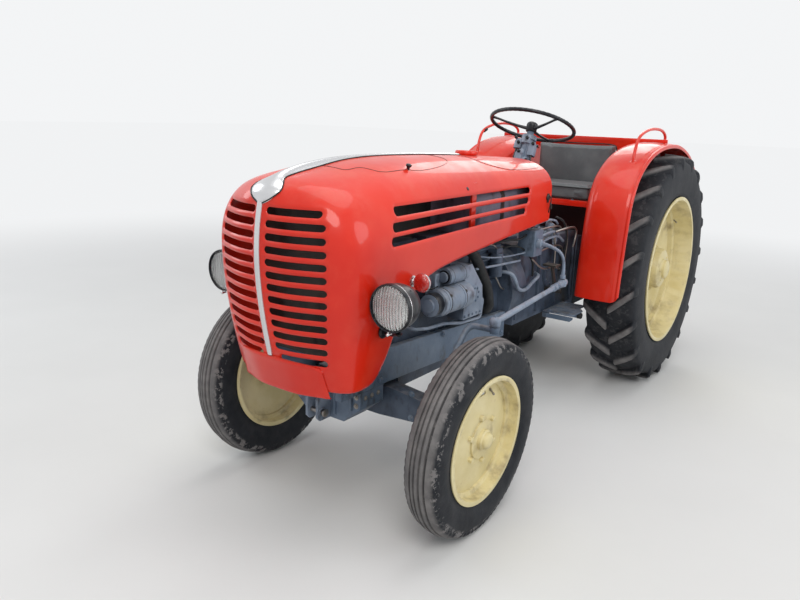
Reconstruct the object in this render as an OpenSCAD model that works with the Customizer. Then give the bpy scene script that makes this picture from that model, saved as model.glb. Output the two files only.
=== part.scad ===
// Light farm tractor of the nineteen fifties, at real size in millimetres.
// It faces -Y, its own left side is +X, up is +Z, and it stands on z = 0.

/* [Overall] */
// Distance between the front and the rear axle
wheelbase = 2389; // [2150:1:2600]
// Rear axle's place behind the middle of the tractor
rear_y = 1106; // [1000:1:1250]

/* [Rear wheels] */
// Radius over the rear tyre's lugs
rear_tyre_r = 739; // [700:1:780]
// Width of the rear tyre
rear_tyre_w = 316; // [290:1:325]
// Distance of the rear tyre's middle from the centre line
rear_track_x = 492; // [490:1:620]
// Radius of the rear rim's flange
rear_rim_r = 474.5; // [465:0.5:485]
// Width over the rear rim's flanges
rear_rim_w = 303; // [270:1:310]
// Count of lugs on each side of a rear tyre
lug_count = 20; // [18:1:22]
// Slant of a lug from the shoulder to the tread's middle in degrees
lug_slant = 11; // [8:0.5:13]

/* [Front wheels] */
// Radius over the front tyre's ribs
front_tyre_r = 416; // [390:1:440]
// Width of the front tyre
front_tyre_w = 150; // [138:1:180]
// Distance of the front tyre's middle from the centre line
front_track_x = 589; // [575:1:620]
// Radius of the front rim's flange
front_rim_r = 271.5; // [260:0.5:280]
// Width over the front rim's flanges
front_rim_w = 131; // [110:1:136]
// Outward lean of a front wheel in degrees
camber = 2; // [0:0.5:4]

/* [Front axle and steering] */
// Distance of a steering pivot from the centre line
kingpin_x = 410; // [380:1:440]
// Radius of a steering pivot pin
kingpin_r = 15; // [12:0.5:18]
// Height of the axle beam's middle
beam_z = 466; // [440:1:500]
// Depth of the axle beam from front to back
beam_d = 80; // [60:1:100]
// Height of the axle beam
beam_h = 144; // [118:1:150]
// Length of the track arms behind the steering pivots
track_arm = 165; // [140:1:190]
// Sideways distance from the pivot to the steering arm's ball
arm_out = 153; // [135:1:170]
// Rearward distance from the pivot to the steering arm's ball
arm_back = 160; // [150:1:180]
// Height of the steering arm's end
arm_z = 824; // [822:1:840]
// Length of the drop arm from its shaft to its ball
drop_len = 170; // [140:1:200]

/* [Bonnet] */
// Half the greatest width of the bonnet
bonnet_w = 357; // [335:1:375]
// Height of the bonnet's lower edge at the nose
nose_z = 646; // [630:1:680]
// Thickness of the bonnet's shell
skin = 4; // [3:0.5:6]
// Count of grille slots on each side
slot_count = 13; // [9:1:13]
// Distance from one grille slot to the next
slot_pitch = 46.4; // [40:0.2:47]
// Height of a grille slot
slot_h = 26; // [16:1:32]

/* [Fenders and seat] */
// Inner side of a fender
fender_in = 322; // [300:1:326]
// Outer side of a fender
fender_out = 596; // [570:1:640]
// Thickness of the fender's shell
fender_t = 5; // [3:0.5:8]
// Half the width of the seat cushion
seat_w = 256; // [220:1:290]
// Height of the seat deck's top
deck_z = 1192; // [1150:1:1210]

/* [Steering wheel] */
// Radius to the middle of the steering wheel's rim
wheel_r = 238; // [200:1:250]
// Lean of the steering wheel in degrees
wheel_tilt = 21.4; // [15:0.2:35]

/* [Hidden] */
$fn = 48;
gap = 0.3;
pin_gap = 0.1;
front_y = rear_y - wheelbase;
tip_y = rear_y - 3001;
bonnet_back = rear_y - 1137;
front_z = front_tyre_r * cos(camber);
red = [0.80, 0.13, 0.07];
blue = [0.30, 0.35, 0.42];
cream = [0.86, 0.78, 0.52];
black = [0.06, 0.06, 0.065];
grey = [0.30, 0.31, 0.34];
bright = [0.78, 0.78, 0.80];
dark = [0.12, 0.12, 0.13];

// Helpers
function lerp(a, b, t) = a + (b - a) * t;
function ry(y) = rear_y + y;

module both_sides() {
  children();
  mirror([1, 0, 0]) children();
}

module box(x0, x1, y0, y1, z0, z1) {
  translate([x0, y0, z0]) cube([x1 - x0, y1 - y0, z1 - z0]);
}

// round bar between two points
module bar(a, b, r, r2 = 0) {
  d = b - a;
  l = norm(d);
  translate(a)
    rotate([0, acos(d[2] / l), atan2(d[1], d[0])])
      cylinder(r1 = r, r2 = r2 > 0 ? r2 : r, h = l, $fn = 28);
}

function unit(v) = v / norm(v);

// path with its knees rounded, each knee in three steps
function rounded(path, r) = concat([path[0]], [for (i = [1 : len(path) - 2])
  let (back = path[i - 1] - path[i])
  let (ahead = path[i + 1] - path[i])
  let (cut = min(2.2 * r, 0.45 * norm(back), 0.45 * norm(ahead)))
  for (t = [0 : 1 / 3 : 1.01])
    path[i] + unit(back) * cut * (1 - t) * (1 - t) + unit(ahead) * cut * t * t], [path[len(path) - 1]]);

// next ring of a bent bar, cut on the plane half way between two stretches
function next_ring(path, i, ring) =
  let (d = unit(path[i] - path[i - 1]))
  let (n = i < len(path) - 1 ? unit(d + unit(path[i + 1] - path[i])) : d)
  [for (q = ring) q + d * (((path[i] - q) * n) / (d * n))];

function all_rings(path, i, rings) =
  i == len(path) ? rings : all_rings(path, i + 1, concat(rings, [next_ring(path, i, rings[i - 1])]));

// bent round bar with rounded knees
module bent_bar(corners, r, sides = 12) {
  path = rounded(corners, r);
  d = unit(path[1] - path[0]);
  across = unit(cross(d, abs(d[2]) < 0.9 ? [0, 0, 1] : [1, 0, 0]));
  other = cross(d, across);
  first = [for (j = [0 : sides - 1]) path[0] + across * r * cos(j * 360 / sides) + other * r * sin(j * 360 / sides)];
  rings = all_rings(path, 1, [first]);
  m = len(rings);
  polyhedron(points = [for (ring = rings) each ring], faces = concat(
    [[for (j = [0 : sides - 1]) j]],
    [[for (j = [sides - 1 : -1 : 0]) (m - 1) * sides + j]],
    [for (i = [0 : m - 2]) for (j = [0 : sides - 1]) let (k = (j + 1) % sides)
      [i * sides + j, (i + 1) * sides + j, (i + 1) * sides + k]],
    [for (i = [0 : m - 2]) for (j = [0 : sides - 1]) let (k = (j + 1) % sides)
      [i * sides + j, (i + 1) * sides + k, i * sides + k]]), convexity = 6);
}

module x_tube(x0, x1, y, z, r) {
  translate([x0, y, z]) rotate([0, 90, 0]) cylinder(r = r, h = x1 - x0);
}

module y_tube(x, y0, y1, z, r) {
  translate([x, y1, z]) rotate([90, 0, 0]) cylinder(r = r, h = y1 - y0);
}

// flat shape drawn as [y, z] points, from x0 to x1
module side_plate(points, x0, x1) {
  translate([x0, 0, 0]) rotate([90, 0, 90]) linear_extrude(height = x1 - x0) polygon(points);
}

// flat shape drawn as [x, z] points, from y0 to y1
module front_plate(points, y0, y1) {
  translate([0, y1, 0]) rotate([90, 0, 0]) linear_extrude(height = y1 - y0) polygon(points);
}

// closed solid between two grids of points of the same size
module thick_grid(outer, inner) {
  n = len(outer);
  m = len(outer[0]);
  all = concat([for (row = outer) each row], [for (row = inner) each row]);
  o = n * m;
  faces = concat(
    [for (i = [0 : n - 2]) for (j = [0 : m - 2]) [i * m + j, i * m + j + 1, (i + 1) * m + j + 1]],
    [for (i = [0 : n - 2]) for (j = [0 : m - 2]) [i * m + j, (i + 1) * m + j + 1, (i + 1) * m + j]],
    [for (i = [0 : n - 2]) for (j = [0 : m - 2])
      [o + i * m + j, o + (i + 1) * m + j + 1, o + i * m + j + 1]],
    [for (i = [0 : n - 2]) for (j = [0 : m - 2])
      [o + i * m + j, o + (i + 1) * m + j, o + (i + 1) * m + j + 1]],
    [for (i = [0 : n - 2]) [i * m, (i + 1) * m, o + (i + 1) * m]],
    [for (i = [0 : n - 2]) [i * m, o + (i + 1) * m, o + i * m]],
    [for (i = [0 : n - 2]) [i * m + m - 1, o + (i + 1) * m + m - 1, (i + 1) * m + m - 1]],
    [for (i = [0 : n - 2]) [i * m + m - 1, o + i * m + m - 1, o + (i + 1) * m + m - 1]],
    [for (j = [0 : m - 2]) [j, o + j + 1, j + 1]],
    [for (j = [0 : m - 2]) [j, o + j, o + j + 1]],
    [for (j = [0 : m - 2]) [(n - 1) * m + j, (n - 1) * m + j + 1, o + (n - 1) * m + j + 1]],
    [for (j = [0 : m - 2]) [(n - 1) * m + j, o + (n - 1) * m + j + 1, o + (n - 1) * m + j]]);
  polyhedron(points = all, faces = faces, convexity = 10);
}

// Bonnet
// stations: distance behind the nose tip, half width, crown height, widest height, lean share
st_dy = 0;
st_w = 1;
st_top = 2;
st_mid = 3;
st_lean = 4;
stations = [
  [0, 0, 1394, 1160, 1],
  [5, 101, 1402, 1160, 0.98],
  [20, 161, 1412, 1160, 0.95],
  [40, 213, 1422, 1159, 0.9],
  [64, 264, 1430, 1159, 0.8],
  [95, 307, 1438, 1158, 0.65],
  [135, 337, 1444, 1157, 0.45],
  [185, 352, 1451, 1156, 0.22],
  [260, 357, 1461, 1155, 0],
  [440, 349, 1487, 1165, 0],
  [620, 336, 1497, 1180, 0],
  [900, 317, 1496, 1205, 0],
  [1250, 296, 1486, 1236, 0],
  [1550, 282, 1474, 1263, 0],
  [1864, 272, 1457, 1288, 0]];
station_w = 357;
side_steps = 7;
crown_steps = 12;

// how far the nose leans back from its foremost height; share falls from 1 at the middle to 0 at the sides
foremost_z = 1165;
function nose_lean(z, share) =
  share * (z > foremost_z ? 27 * pow((z - foremost_z) / 218, 2) : 62 * pow((foremost_z - z) / 402, 1.7));

// point on a station's section; k runs from the lower edge up to the crown
function shell_point(s, k, inset) =
  let (w = max(s[st_w] * bonnet_w / station_w - inset, -0.05))
  let (top = s[st_top] - inset)
  let (a = k <= side_steps ? 0 : 90 * (k - side_steps) / crown_steps)
  let (u = k / side_steps)
  let (z = k <= side_steps ? lerp(nose_z - 60, s[st_mid], u)
                           : s[st_mid] + (top - s[st_mid]) * pow(sin(a), 0.8))
  let (drop = (s[st_mid] - min(z, s[st_mid])) / 480)
  let (x = k <= side_steps ? w - w * 0.125 * drop * drop : w * pow(max(cos(a), 0), 0.8))
  [k == side_steps + crown_steps ? -0.05 : x,
   tip_y + s[st_dy] + nose_lean(z, s[st_lean]) + (s[st_lean] > 0 ? inset : 0),
   z];

module half_shell() {
  last = side_steps + crown_steps;
  outer = [for (s = stations) [for (k = [0 : last]) shell_point(s, k, 0)]];
  inner = [for (s = stations) [for (k = [0 : last]) shell_point(s, k, skin)]];
  thick_grid(outer, inner);
}

// everything under the bonnet's lower edge, seen from the side
module below_edge() {
  side_plate([
    [tip_y - 50, nose_z - 80], [tip_y - 50, nose_z], [tip_y + 282, nose_z + 14],
    [tip_y + 313, nose_z + 32], [tip_y + 346, nose_z + 80], [tip_y + 374, nose_z + 140],
    [tip_y + 395, nose_z + 194], [tip_y + 427, nose_z + 259], [tip_y + 474, nose_z + 316],
    [tip_y + 541, nose_z + 363], [tip_y + 630, nose_z + 393], [tip_y + 729, nose_z + 411],
    [bonnet_back + 50, nose_z + 491], [bonnet_back + 50, nose_z - 80]], -450, 450);
}

// a flat slot with round ends from [a0, b0] to [a1, b1]
module slot(a0, b0, a1, b1, h0, h1) {
  ang = atan2(b1 - b0, a1 - a0);
  polygon(concat(
    [for (i = [0 : 8]) [a0 + h0 / 2 * cos(ang + 90 + i * 22.5), b0 + h0 / 2 * sin(ang + 90 + i * 22.5)]],
    [for (i = [0 : 8]) [a1 + h1 / 2 * cos(ang - 90 + i * 22.5), b1 + h1 / 2 * sin(ang - 90 + i * 22.5)]]));
}

slot_top_z = 1330;

module grille_slots() {
  for (i = [0 : slot_count - 1]) {
    z = slot_top_z - i * slot_pitch;
    x0 = i == slot_count - 1 ? 62 : 42;
    x1 = i == 0 ? 232 : 246;
    translate([0, tip_y + 190, 0]) rotate([90, 0, 0])
      linear_extrude(height = 260) slot(x0, z, x1, z, slot_h, slot_h);
  }
}

// side louvres: front end y and z, rear end y and z
louvres = [
  [-2599, 1323, -1418, 1319],
  [-2628, 1266, -1434, 1268],
  [-2642, 1214, -1463, 1217]];

module louvre_slots() {
  for (v = louvres) {
    translate([200, 0, 0]) rotate([90, 0, 90]) linear_extrude(height = 250)
      slot(ry(v[0]), v[1], ry(v[2]), v[3], 36, 30);
  }
}

module bonnet() {
  color(red) {
    both_sides() {
      difference() {
        half_shell();
        below_edge();
        grille_slots();
        louvre_slots();
      }
    }
  }
}

// y of the nose's face below its foremost height, at half width x and height z
function nose_y(x, z) =
  let (w = abs(x) / (1 - 0.125 * pow((1160 - z) / 480, 2)) * station_w / bonnet_w)
  let (front = [for (s = stations) if (s[st_dy] < 300) s])
  tip_y + lookup(w, [for (s = front) [s[st_w], s[st_dy]]])
    + nose_lean(z, lookup(w, [for (s = front) [s[st_w], s[st_lean]]]));

apron_w = 221;
apron_top = 766;
apron_low = 632;

module apron() {
  steps = 16;
  rows = 3;
  grid = [for (lift = [6.8, 1.3]) [for (i = [0 : steps]) let (u = i / steps * 2 - 1) [for (j = [0 : rows])
    let (z = lerp(apron_top, apron_low, j / rows))
    let (x = u * apron_w * (1 + 0.045 * j / rows))
    [x, nose_y(x, z) - lift, z]]]];
  color(red) thick_grid(grid[0], grid[1]);
}

function station_at(d, column) = lookup(d, [for (s = stations) [s[st_dy], s[column]]]);

// point of the bonnet's upper side at distance d behind the tip and half width x
function crown_point(d, x) =
  let (w = station_at(d, st_w) * bonnet_w / station_w)
  let (c = w > abs(x) ? pow(abs(x) / w, 1.25) : 1)
  let (z = station_at(d, st_mid) + (station_at(d, st_top) - station_at(d, st_mid)) * pow(1 - c * c, 0.4))
  [x, tip_y + d + nose_lean(z, station_at(d, st_lean)), z];

// point of the brow's front at half width x and height z
function brow_point(x, z) =
  let (share = max(0, z - foremost_z + 5) / (stations[1][st_top] - foremost_z + 5))
  let (w = abs(x) / pow(1 - pow(min(share, 0.97), 2.5), 0.4) * station_w / bonnet_w)
  [x, tip_y + lookup(w, [for (s = stations) if (s[st_dy] < 300) [s[st_w], s[st_dy]]]) + nose_lean(z, 1), z];

// lower end of the spade on the brow's front: middle's height, edge's height, half width, rise
spade_foot = [[1350, 1350, 9, 8], [1374, 1368, 44, 8], [1388, 1383, 63, 9]];

// the spade's rear part and the rib behind it: middle's distance, edge's distance, half width, rise
rib = [
  [8, 20, 73, 10], [20, 31, 69, 12], [38, 46, 57, 14],
  [62, 70, 37, 17], [95, 98, 25, 20], [146, 146, 19, 23], [218, 218, 17, 25], [290, 290, 16, 24],
  [365, 365, 15, 20], [440, 440, 13, 15], [530, 530, 11, 11], [620, 620, 10, 9], [900, 900, 9, 8],
  [1250, 1250, 9, 7], [1335, 1335, 9, 6]];
// height of the spade's underside over the curved brow
brow_gap = 3.6;
sp_mid = 0;
sp_edge = 1;
sp_half = 2;
sp_rise = 3;
across = [1, 0.66, 0.33, 0, -0.33, -0.66, -1];

function foot_point(v, u, rise) =
  brow_point(u * v[sp_half], lerp(v[sp_mid], v[sp_edge], u * u))
    + (rise * (1 - u * u) * v[sp_rise] + brow_gap + 0.4 * rise) * [0, -cos(25), sin(25)];

function rib_point(v, u, rise) =
  let (d = lerp(v[sp_mid], v[sp_edge], u * u))
  let (tilt = lerp(30, 90, min(1, d / 80)))
  let (under = lerp(brow_gap, 0.6, min(1, d / 70)))
  crown_point(d, u * v[sp_half]) + (rise * (1 - u * u) * v[sp_rise] + under + 0.4 * rise) * [0, -cos(tilt), sin(tilt)];

function ornament(rise) = concat([for (v = spade_foot) [for (u = across) foot_point(v, u, rise)]],
  [for (v = rib) [for (u = across) rib_point(v, u, rise)]]);

// bright strip up the middle of the nose, with the spade on the brow and the rib along the crown
module grille_strip() {
  color(bright) {
    side_plate(concat(
      [for (i = [0 : 12]) let (z = 776 + i * 48) [tip_y + nose_lean(z, 1) - 11, z]],
      [for (i = [12 : -1 : 0]) let (z = 776 + i * 48) [tip_y + nose_lean(z, 1) - 0.5, z]]), -11, 11);
    thick_grid(ornament(1), ornament(0));
  }
}

module radiator() {
  color(dark) box(-240, 240, tip_y + 232, tip_y + 302, rail_top + gap, 1353);
}

module fuel_tank() {
  color([0.42, 0.40, 0.48]) front_plate([[-215, 1132], [215, 1132], [228, 1157], [228, 1302], [205, 1337],
    [150, 1359], [-150, 1359], [-205, 1337], [-228, 1302], [-228, 1157]], ry(-1870), ry(-1195));
  color([0.42, 0.40, 0.48]) both_sides() box(88, 116, ry(-1790), ry(-1530), head_z + gap, 1133);
}

module filler_cap() {
  color(red) translate([0, ry(-1590), 1480.4]) rotate([-2.3, 0, 0]) cylinder(r = 56, h = 24);
}

lamp_x = 443;
lamp_y = -2793;
lamp_z = 1008;
// where the lamp bracket's foot sits on the nose's side
lamp_foot_y = -2703;

module headlights() {
  both_sides() {
    color(black) translate([lamp_x, ry(lamp_y), lamp_z]) rotate([90, 0, 0])
      rotate_extrude() polygon([[0, -128], [30, -126], [56, -112], [75, -84], [85, -46], [87, 0],
        [83, 0], [81, -44], [71, -80], [53, -107], [30, -120], [0, -122]]);
    color(black) bent_bar([[lamp_x, ry(lamp_y) + 60, lamp_z - 70], [lamp_x - 10, ry(lamp_y) + 70, lamp_z - 110],
      [351, ry(lamp_foot_y), lamp_z - 125]], 10);
    color(black) x_tube(342.5, 355, ry(lamp_foot_y), lamp_z - 125, 14);
  }
}

module headlight_lenses() {
  both_sides() {
    color([0.9, 0.92, 0.95, 0.5]) translate([lamp_x, ry(lamp_y) - 1, lamp_z]) rotate([90, 0, 0])
      rotate_extrude() polygon([[0, 10], [40, 8], [66, 3], [82.4, -4], [82.4, -8], [66, -1], [40, 4], [0, 6]]);
  }
}

module turn_lamps() {
  both_sides() {
    color([0.75, 0.12, 0.05]) y_tube(386, ry(-2533), ry(-2490), 1043, 37);
    color([0.75, 0.12, 0.05]) x_tube(343.5, 362, ry(-2512), 1043, 12);
  }
}

// Frame and front end
rail_low = 575;
rail_top = 735;
tow_pin_r = 12;
pivot_r = 26;

module frame_rails() {
  color(blue) both_sides()
    side_plate([
      [ry(-2765), rail_low], [ry(-2765), rail_top], [ry(-2695), rail_top], [ry(-1440.3), 672],
      [ry(-1440.3), 536], [front_y - 81, rail_low]], 168, 200);
}

module front_support() {
  color(blue) {
    difference() {
      box(-196, 196, front_y - 251, front_y - 101, 417, rail_low - gap);
      both_sides() box(60, 150, front_y - 266, front_y - 228, 437, 553);
    }
    difference() {
      both_sides() box(22, 34, front_y - 331, front_y - 250, 427, 541);
      x_tube(-50, 50, front_y - 305, 466, tow_pin_r);
    }
    y_tube(0, front_y - 103, front_y + beam_d / 2 + 14, beam_z, pivot_r);
  }
}

module front_axle() {
  color(blue) {
    difference() {
      union() {
        front_plate([[-380, beam_z - 52], [-130, beam_z - beam_h / 2], [130, beam_z - beam_h / 2],
          [380, beam_z - 52], [380, beam_z + 46], [130, beam_z + beam_h / 2],
          [-130, beam_z + beam_h / 2], [-380, beam_z + 46]],
          front_y - beam_d / 2, front_y + beam_d / 2);
        both_sides() translate([kingpin_x, front_y, beam_z - 60]) cylinder(r = 36, h = 116);
      }
      both_sides() translate([kingpin_x, front_y, 0]) cylinder(r = kingpin_r + pin_gap, h = 900);
      y_tube(0, front_y - 60, front_y + 60, beam_z, pivot_r + pin_gap);
    }
  }
}

spindle_r = 19;
rod_z = beam_z - 108.5;
rod_pin_r = 8;

// the steered fork with its stub axle, drawn for the left side
module knuckle(side) {
  mirror([side < 0 ? 1 : 0, 0, 0]) {
    difference() {
      union() {
        translate([kingpin_x, front_y, beam_z - 92]) cylinder(r = 34, h = 27);
        translate([kingpin_x, front_y, beam_z + 61]) cylinder(r = 34, h = 36);
        box(kingpin_x + 40, kingpin_x + 62, front_y - 30, front_y + 30, beam_z - 92, beam_z + 97);
        box(kingpin_x, kingpin_x + 62, front_y - 30, front_y + 30, beam_z - 92, beam_z - 65);
        box(kingpin_x, kingpin_x + 62, front_y - 30, front_y + 30, beam_z + 61, beam_z + 97);
      }
    }
    translate([kingpin_x, front_y, beam_z - 90]) cylinder(r = kingpin_r, h = 185);
    translate([front_track_x, front_y, front_z]) rotate([0, 90 + camber, 0])
      translate([0, 0, -118]) cylinder(r = spindle_r, h = 150);
    // track arm
    side_plate([[front_y, beam_z - 92], [front_y, beam_z - 68], [front_y + track_arm + 18, beam_z - 68],
      [front_y + track_arm + 18, beam_z - 92]], kingpin_x - 18, kingpin_x + 18);
    translate([kingpin_x, front_y + track_arm, rod_z - 18]) cylinder(r = rod_pin_r - pin_gap, h = 40);
  }
}

module knuckle_left() {
  color(blue) {
    knuckle(1);
    // long steering arm that rises behind the pivot and turns out over the tyre
    bent_bar([
      [kingpin_x, front_y + 8, beam_z + 88],
      [kingpin_x + 18, front_y + 53, 690],
      [kingpin_x + 30, front_y + 138, arm_z - 22],
      [kingpin_x + 50, front_y + arm_back - 3, arm_z],
      [kingpin_x + arm_out, front_y + arm_back, arm_z]], 13);
    translate([kingpin_x + arm_out, front_y + arm_back, arm_z - 13]) cylinder(r = 20, h = 26);
    translate([kingpin_x + arm_out, front_y + arm_back, arm_z]) cylinder(r = 7, h = 27);
  }
}

module knuckle_right() {
  color(blue) knuckle(-1);
}

module track_rod() {
  color(blue) {
    x_tube(-kingpin_x + 20, kingpin_x - 20, front_y + track_arm, rod_z, 12);
    both_sides() difference() {
      translate([kingpin_x, front_y + track_arm, rod_z - 16]) cylinder(r = 26, h = 32);
      translate([kingpin_x, front_y + track_arm, rod_z - 17]) cylinder(r = rod_pin_r, h = 40);
    }
  }
}

// ball ends of the steering links
ball_front = [kingpin_x + arm_out, front_y + arm_back, arm_z + 34];
ball_rear = [420, ry(-1236), 827];

module drag_link() {
  color(grey) {
    d = ball_rear - ball_front;
    bar(ball_front + d * 0.02, ball_rear - d * 0.01, 13);
    difference() {
      translate(ball_front - [0, 0, 18]) cylinder(r = 24, h = 38);
      translate(ball_front - [0, 0, 20]) cylinder(r = 7.2, h = 24);
    }
    translate(ball_rear - [0, 0, 18]) cylinder(r = 24, h = 38);
  }
}

drop_x = 262;
drop_z = ball_rear[2] + 24 + drop_len;

module drop_arm() {
  color(grey) {
    x_tube(drop_x, drop_x + 26, ball_rear[1], drop_z, 26);
    bent_bar([
      [drop_x + 13, ball_rear[1], drop_z],
      [ball_rear[0] - 20, ball_rear[1], drop_z - 30],
      [ball_rear[0], ball_rear[1], drop_z - 60],
      [ball_rear[0], ball_rear[1], ball_rear[2] + 40]], 13);
    translate([ball_rear[0], ball_rear[1], ball_rear[2] + 24]) cylinder(r = 15, h = 20);
  }
}

// Engine and driveline
head_z = 1105;

// heads of the three cylinders: front end and rear end
heads = [[-2356, -2082], [-2068, -1794], [-1780, -1506]];

module engine() {
  color(blue) {
    box(-150, 150, ry(-2400), ry(-1440), 575, 850);
    box(-132, 138, ry(-2390), ry(-1450), 850, 1016);
    box(-150, 150, ry(-2400), ry(-1440), 1016, 1030);
    box(-140, 140, front_y + 79, ry(-1480), 485, 580);
    for (h = heads) {
      box(-120, 130, ry(h[0]), ry(h[1]), 1030, head_z);
      box(-78, 78, ry(h[0] + 30), ry(h[1] - 30), head_z, head_z + 24);
      y_tube(0, ry(h[0] + 24), ry(h[1] - 24), head_z + 4, 14);
      // side cover of the push rods with its two nuts
      box(137, 146, ry(h[0] + 34), ry(h[1] - 34), 872, 996);
      for (z = [900, 968]) x_tube(145, 150, ry((h[0] + h[1]) / 2), z, 9);
    }
    // timing case, crank pulley and fan
    box(-158, 158, ry(-2424), ry(-2400), 585, 960);
    y_tube(0, ry(-2470), ry(-2424), 640, 74);
    y_tube(0, ry(-2520), ry(-2424), 900, 32);
    for (a = [0 : 3]) translate([0, ry(-2516), 900]) rotate([90, a * 90 + 20, 0])
      translate([-26, 0, -6]) cube([52, 176, 6]);
    // fuel filter and injection pump at the rear of the left side
    translate([182, ry(-1545), 880]) cylinder(r = 34, h = 120);
    box(149, 200, ry(-1575), ry(-1515), 1000, 1024);
    // rods along the left side
    y_tube(158, ry(-1800), ry(-1440), 968, 6);
    box(149, 164, ry(-1500), ry(-1490), 956, 980);
  }
}

module generator() {
  color(blue) {
    y_tube(232, ry(-2176), ry(-1936), 866, 62);
    for (y = [-2150, -2020]) y_tube(232, ry(y), ry(y + 12), 866, 65);
    y_tube(215, ry(-2083), ry(-1922), 968, 40);
    y_tube(215, ry(-2100), ry(-2083), 968, 24);
    box(150 + gap, 200, ry(-2134), ry(-1984), 826, 986);
    // housing that both sit on
    side_plate([[ry(-1937), 738], [ry(-1937), 1000], [ry(-1880), 1000], [ry(-1772), 880], [ry(-1756), 738]],
      150 + gap, 238);
    x_tube(238, 246, ry(-1850), 850, 42);
  }
  color(dark) {
    y_tube(232, ry(-2222), ry(-2175), 864, 50);
    y_tube(232, ry(-2236), ry(-2221), 864, 30);
  }
  color(blue) bent_bar([[150.5, ry(-2300), 770], [214, ry(-2300), 770], [214, ry(-2200), 752],
    [214, ry(-2070), 746], [214, ry(-1920), 716], [214, ry(-1735), 706], [214, ry(-1718), 800],
    [150.5, ry(-1718), 800]], 8, 10);
}

module intake_hose() {
  color(black) bent_bar([[130.5, ry(-1850), 1064], [205, ry(-1850), 1064], [208, ry(-1775), 985],
    [206, ry(-1690), 880], [204, ry(-1645), 790], [204, ry(-1632), 720], [150.5, ry(-1632), 720]], 26);
}

module exhaust() {
  color(dark) {
    y_tube(-181, ry(-2332), ry(-1581), 961, 30.5);
    for (h = heads) x_tube(-181, -132 - gap, ry((h[0] + h[1]) / 2), 961, 22);
    bent_bar([[-185, ry(-1610), 961], [-225, ry(-1560), 850], [-230, ry(-1480), 600], [-230, ry(-1380), 430],
      [-230, ry(-500), 430]], 23);
    y_tube(-230, ry(-1250), ry(-700), 430, 42);
  }
}

pto_r = 17.4;
gearbox_top = 1000;
housing_top = 960;

module gearbox() {
  color(blue) {
    y_tube(0, ry(-1440), ry(-1280), 770, 235);
    for (a = [0 : 11]) translate([0, 0, 770]) rotate([0, a * 30 + 15, 0]) y_tube(222, ry(-1432), ry(-1272), 0, 9);
    box(-165, 165, ry(-1280), ry(-500), 550, gearbox_top);
    both_sides() {
      for (y = [-1270, -1010, -760, -520]) box(160, 178, ry(y), ry(y + 18), 580, gearbox_top - 60);
      x_tube(160, 182, ry(-860), 780, 74);
      for (a = [0 : 5]) translate([0, ry(-860), 780]) rotate([a * 60, 0, 0]) x_tube(160, 190, 0, 58, 8);
    }
    box(-185, 185, ry(-500), ry(230), 520, housing_top);
    box(-150, 150, ry(228), ry(236), 700, 930);
    y_tube(0, ry(229), ry(305), 640, pto_r);
  }
}

axle_r = 38;
drum_x = 345;

module rear_axle() {
  color(blue) both_sides() {
    x_tube(185, drum_x, rear_y, rear_tyre_r, 88);
    x_tube(185, 210, rear_y, rear_tyre_r, 128);
    x_tube(drum_x, drum_x + 60, rear_y, rear_tyre_r, 150);
    x_tube(drum_x + 60, rear_track_x - 28, rear_y, rear_tyre_r, axle_r);
  }
}

// Fenders
// outer edge of a fender in the side view: distance from the rear axle and height
fender_shape = [
  [-848, 668], [-838, 800], [-824, 940], [-806, 1086], [-782, 1214], [-750, 1290], [-699, 1360],
  [-603, 1432], [-481, 1486], [-320, 1521], [-150, 1533], [46, 1522], [269, 1464], [430, 1378],
  [562, 1266], [668, 1128], [738, 968], [760, 856]];
// the shape above is set out round a tyre of this radius, and another tyre pushes it outward
shape_tyre_r = 739;
push = rear_tyre_r - shape_tyre_r;
fender_line = [for (p = fender_shape) p + unit(p - [0, shape_tyre_r]) * push + [0, push]];

// smooth line through the points of a list, each stretch in two steps
function smooth(q) = [for (i = [0 : len(q) - 2]) each
  let (a = q[max(i - 1, 0)])
  let (b = q[i])
  let (c = q[i + 1])
  let (d = q[min(i + 2, len(q) - 1)])
  [b, (9 * (b + c) - a - d) / 16], q[len(q) - 1]];

// outward direction at point i of a line that runs over the top from the front to the rear
function outward(q, i) =
  let (t = unit(q[min(i + 1, len(q) - 1)] - q[max(i - 1, 0)])) [-t[1], t[0]];

fender_path = smooth(fender_line);

// swell of a fender across its width, from the inner edge at 0 to the outer edge at 1
fender_swell = [[0, -40], [0.03, -23], [0.09, -7], [0.2, 5], [0.38, 12], [0.6, 14], [0.8, 11], [0.94, 5], [1, 0]];
fender_dip = 44;

module fender() {
  n = len(fender_swell) - 1;
  grid = [for (depth = [0, fender_t]) [for (i = [0 : len(fender_path) - 1]) [for (j = [n : -1 : 0])
    let (p = fender_path[i] + outward(fender_path, i) * (fender_swell[j][1] - depth))
    [lerp(fender_in, fender_out, fender_swell[j][0]) + (j == 0 ? depth * 0.6 : 0), ry(p[0]), p[1]]]]];
  thick_grid(grid[0], grid[1]);
}

module fender_wall() {
  inner_edge = [for (i = [0 : len(fender_path) - 1])
    let (p = fender_path[i] - outward(fender_path, i) * fender_dip) [ry(p[0]), p[1]]];
  side_plate(concat(inner_edge, [[ry(560), 900 + push], [ry(-560), 900 + push], [ry(-700 - push), 720 + push]]),
    fender_in, fender_in + 4);
}

module fender_left() {
  color(red) {
    fender();
    fender_wall();
  }
}

module fender_right() {
  color(red) mirror([1, 0, 0]) {
    fender();
    fender_wall();
  }
}

rail_x = 514;

// place at height up over the fender's face, beside point i of its path
function on_fender(i, up) =
  let (lift = lookup((rail_x - fender_in) / (fender_out - fender_in), fender_swell))
  let (p = fender_path[i] + outward(fender_path, i) * (lift + up))
  [rail_x, ry(p[0]), p[1]];

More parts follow.
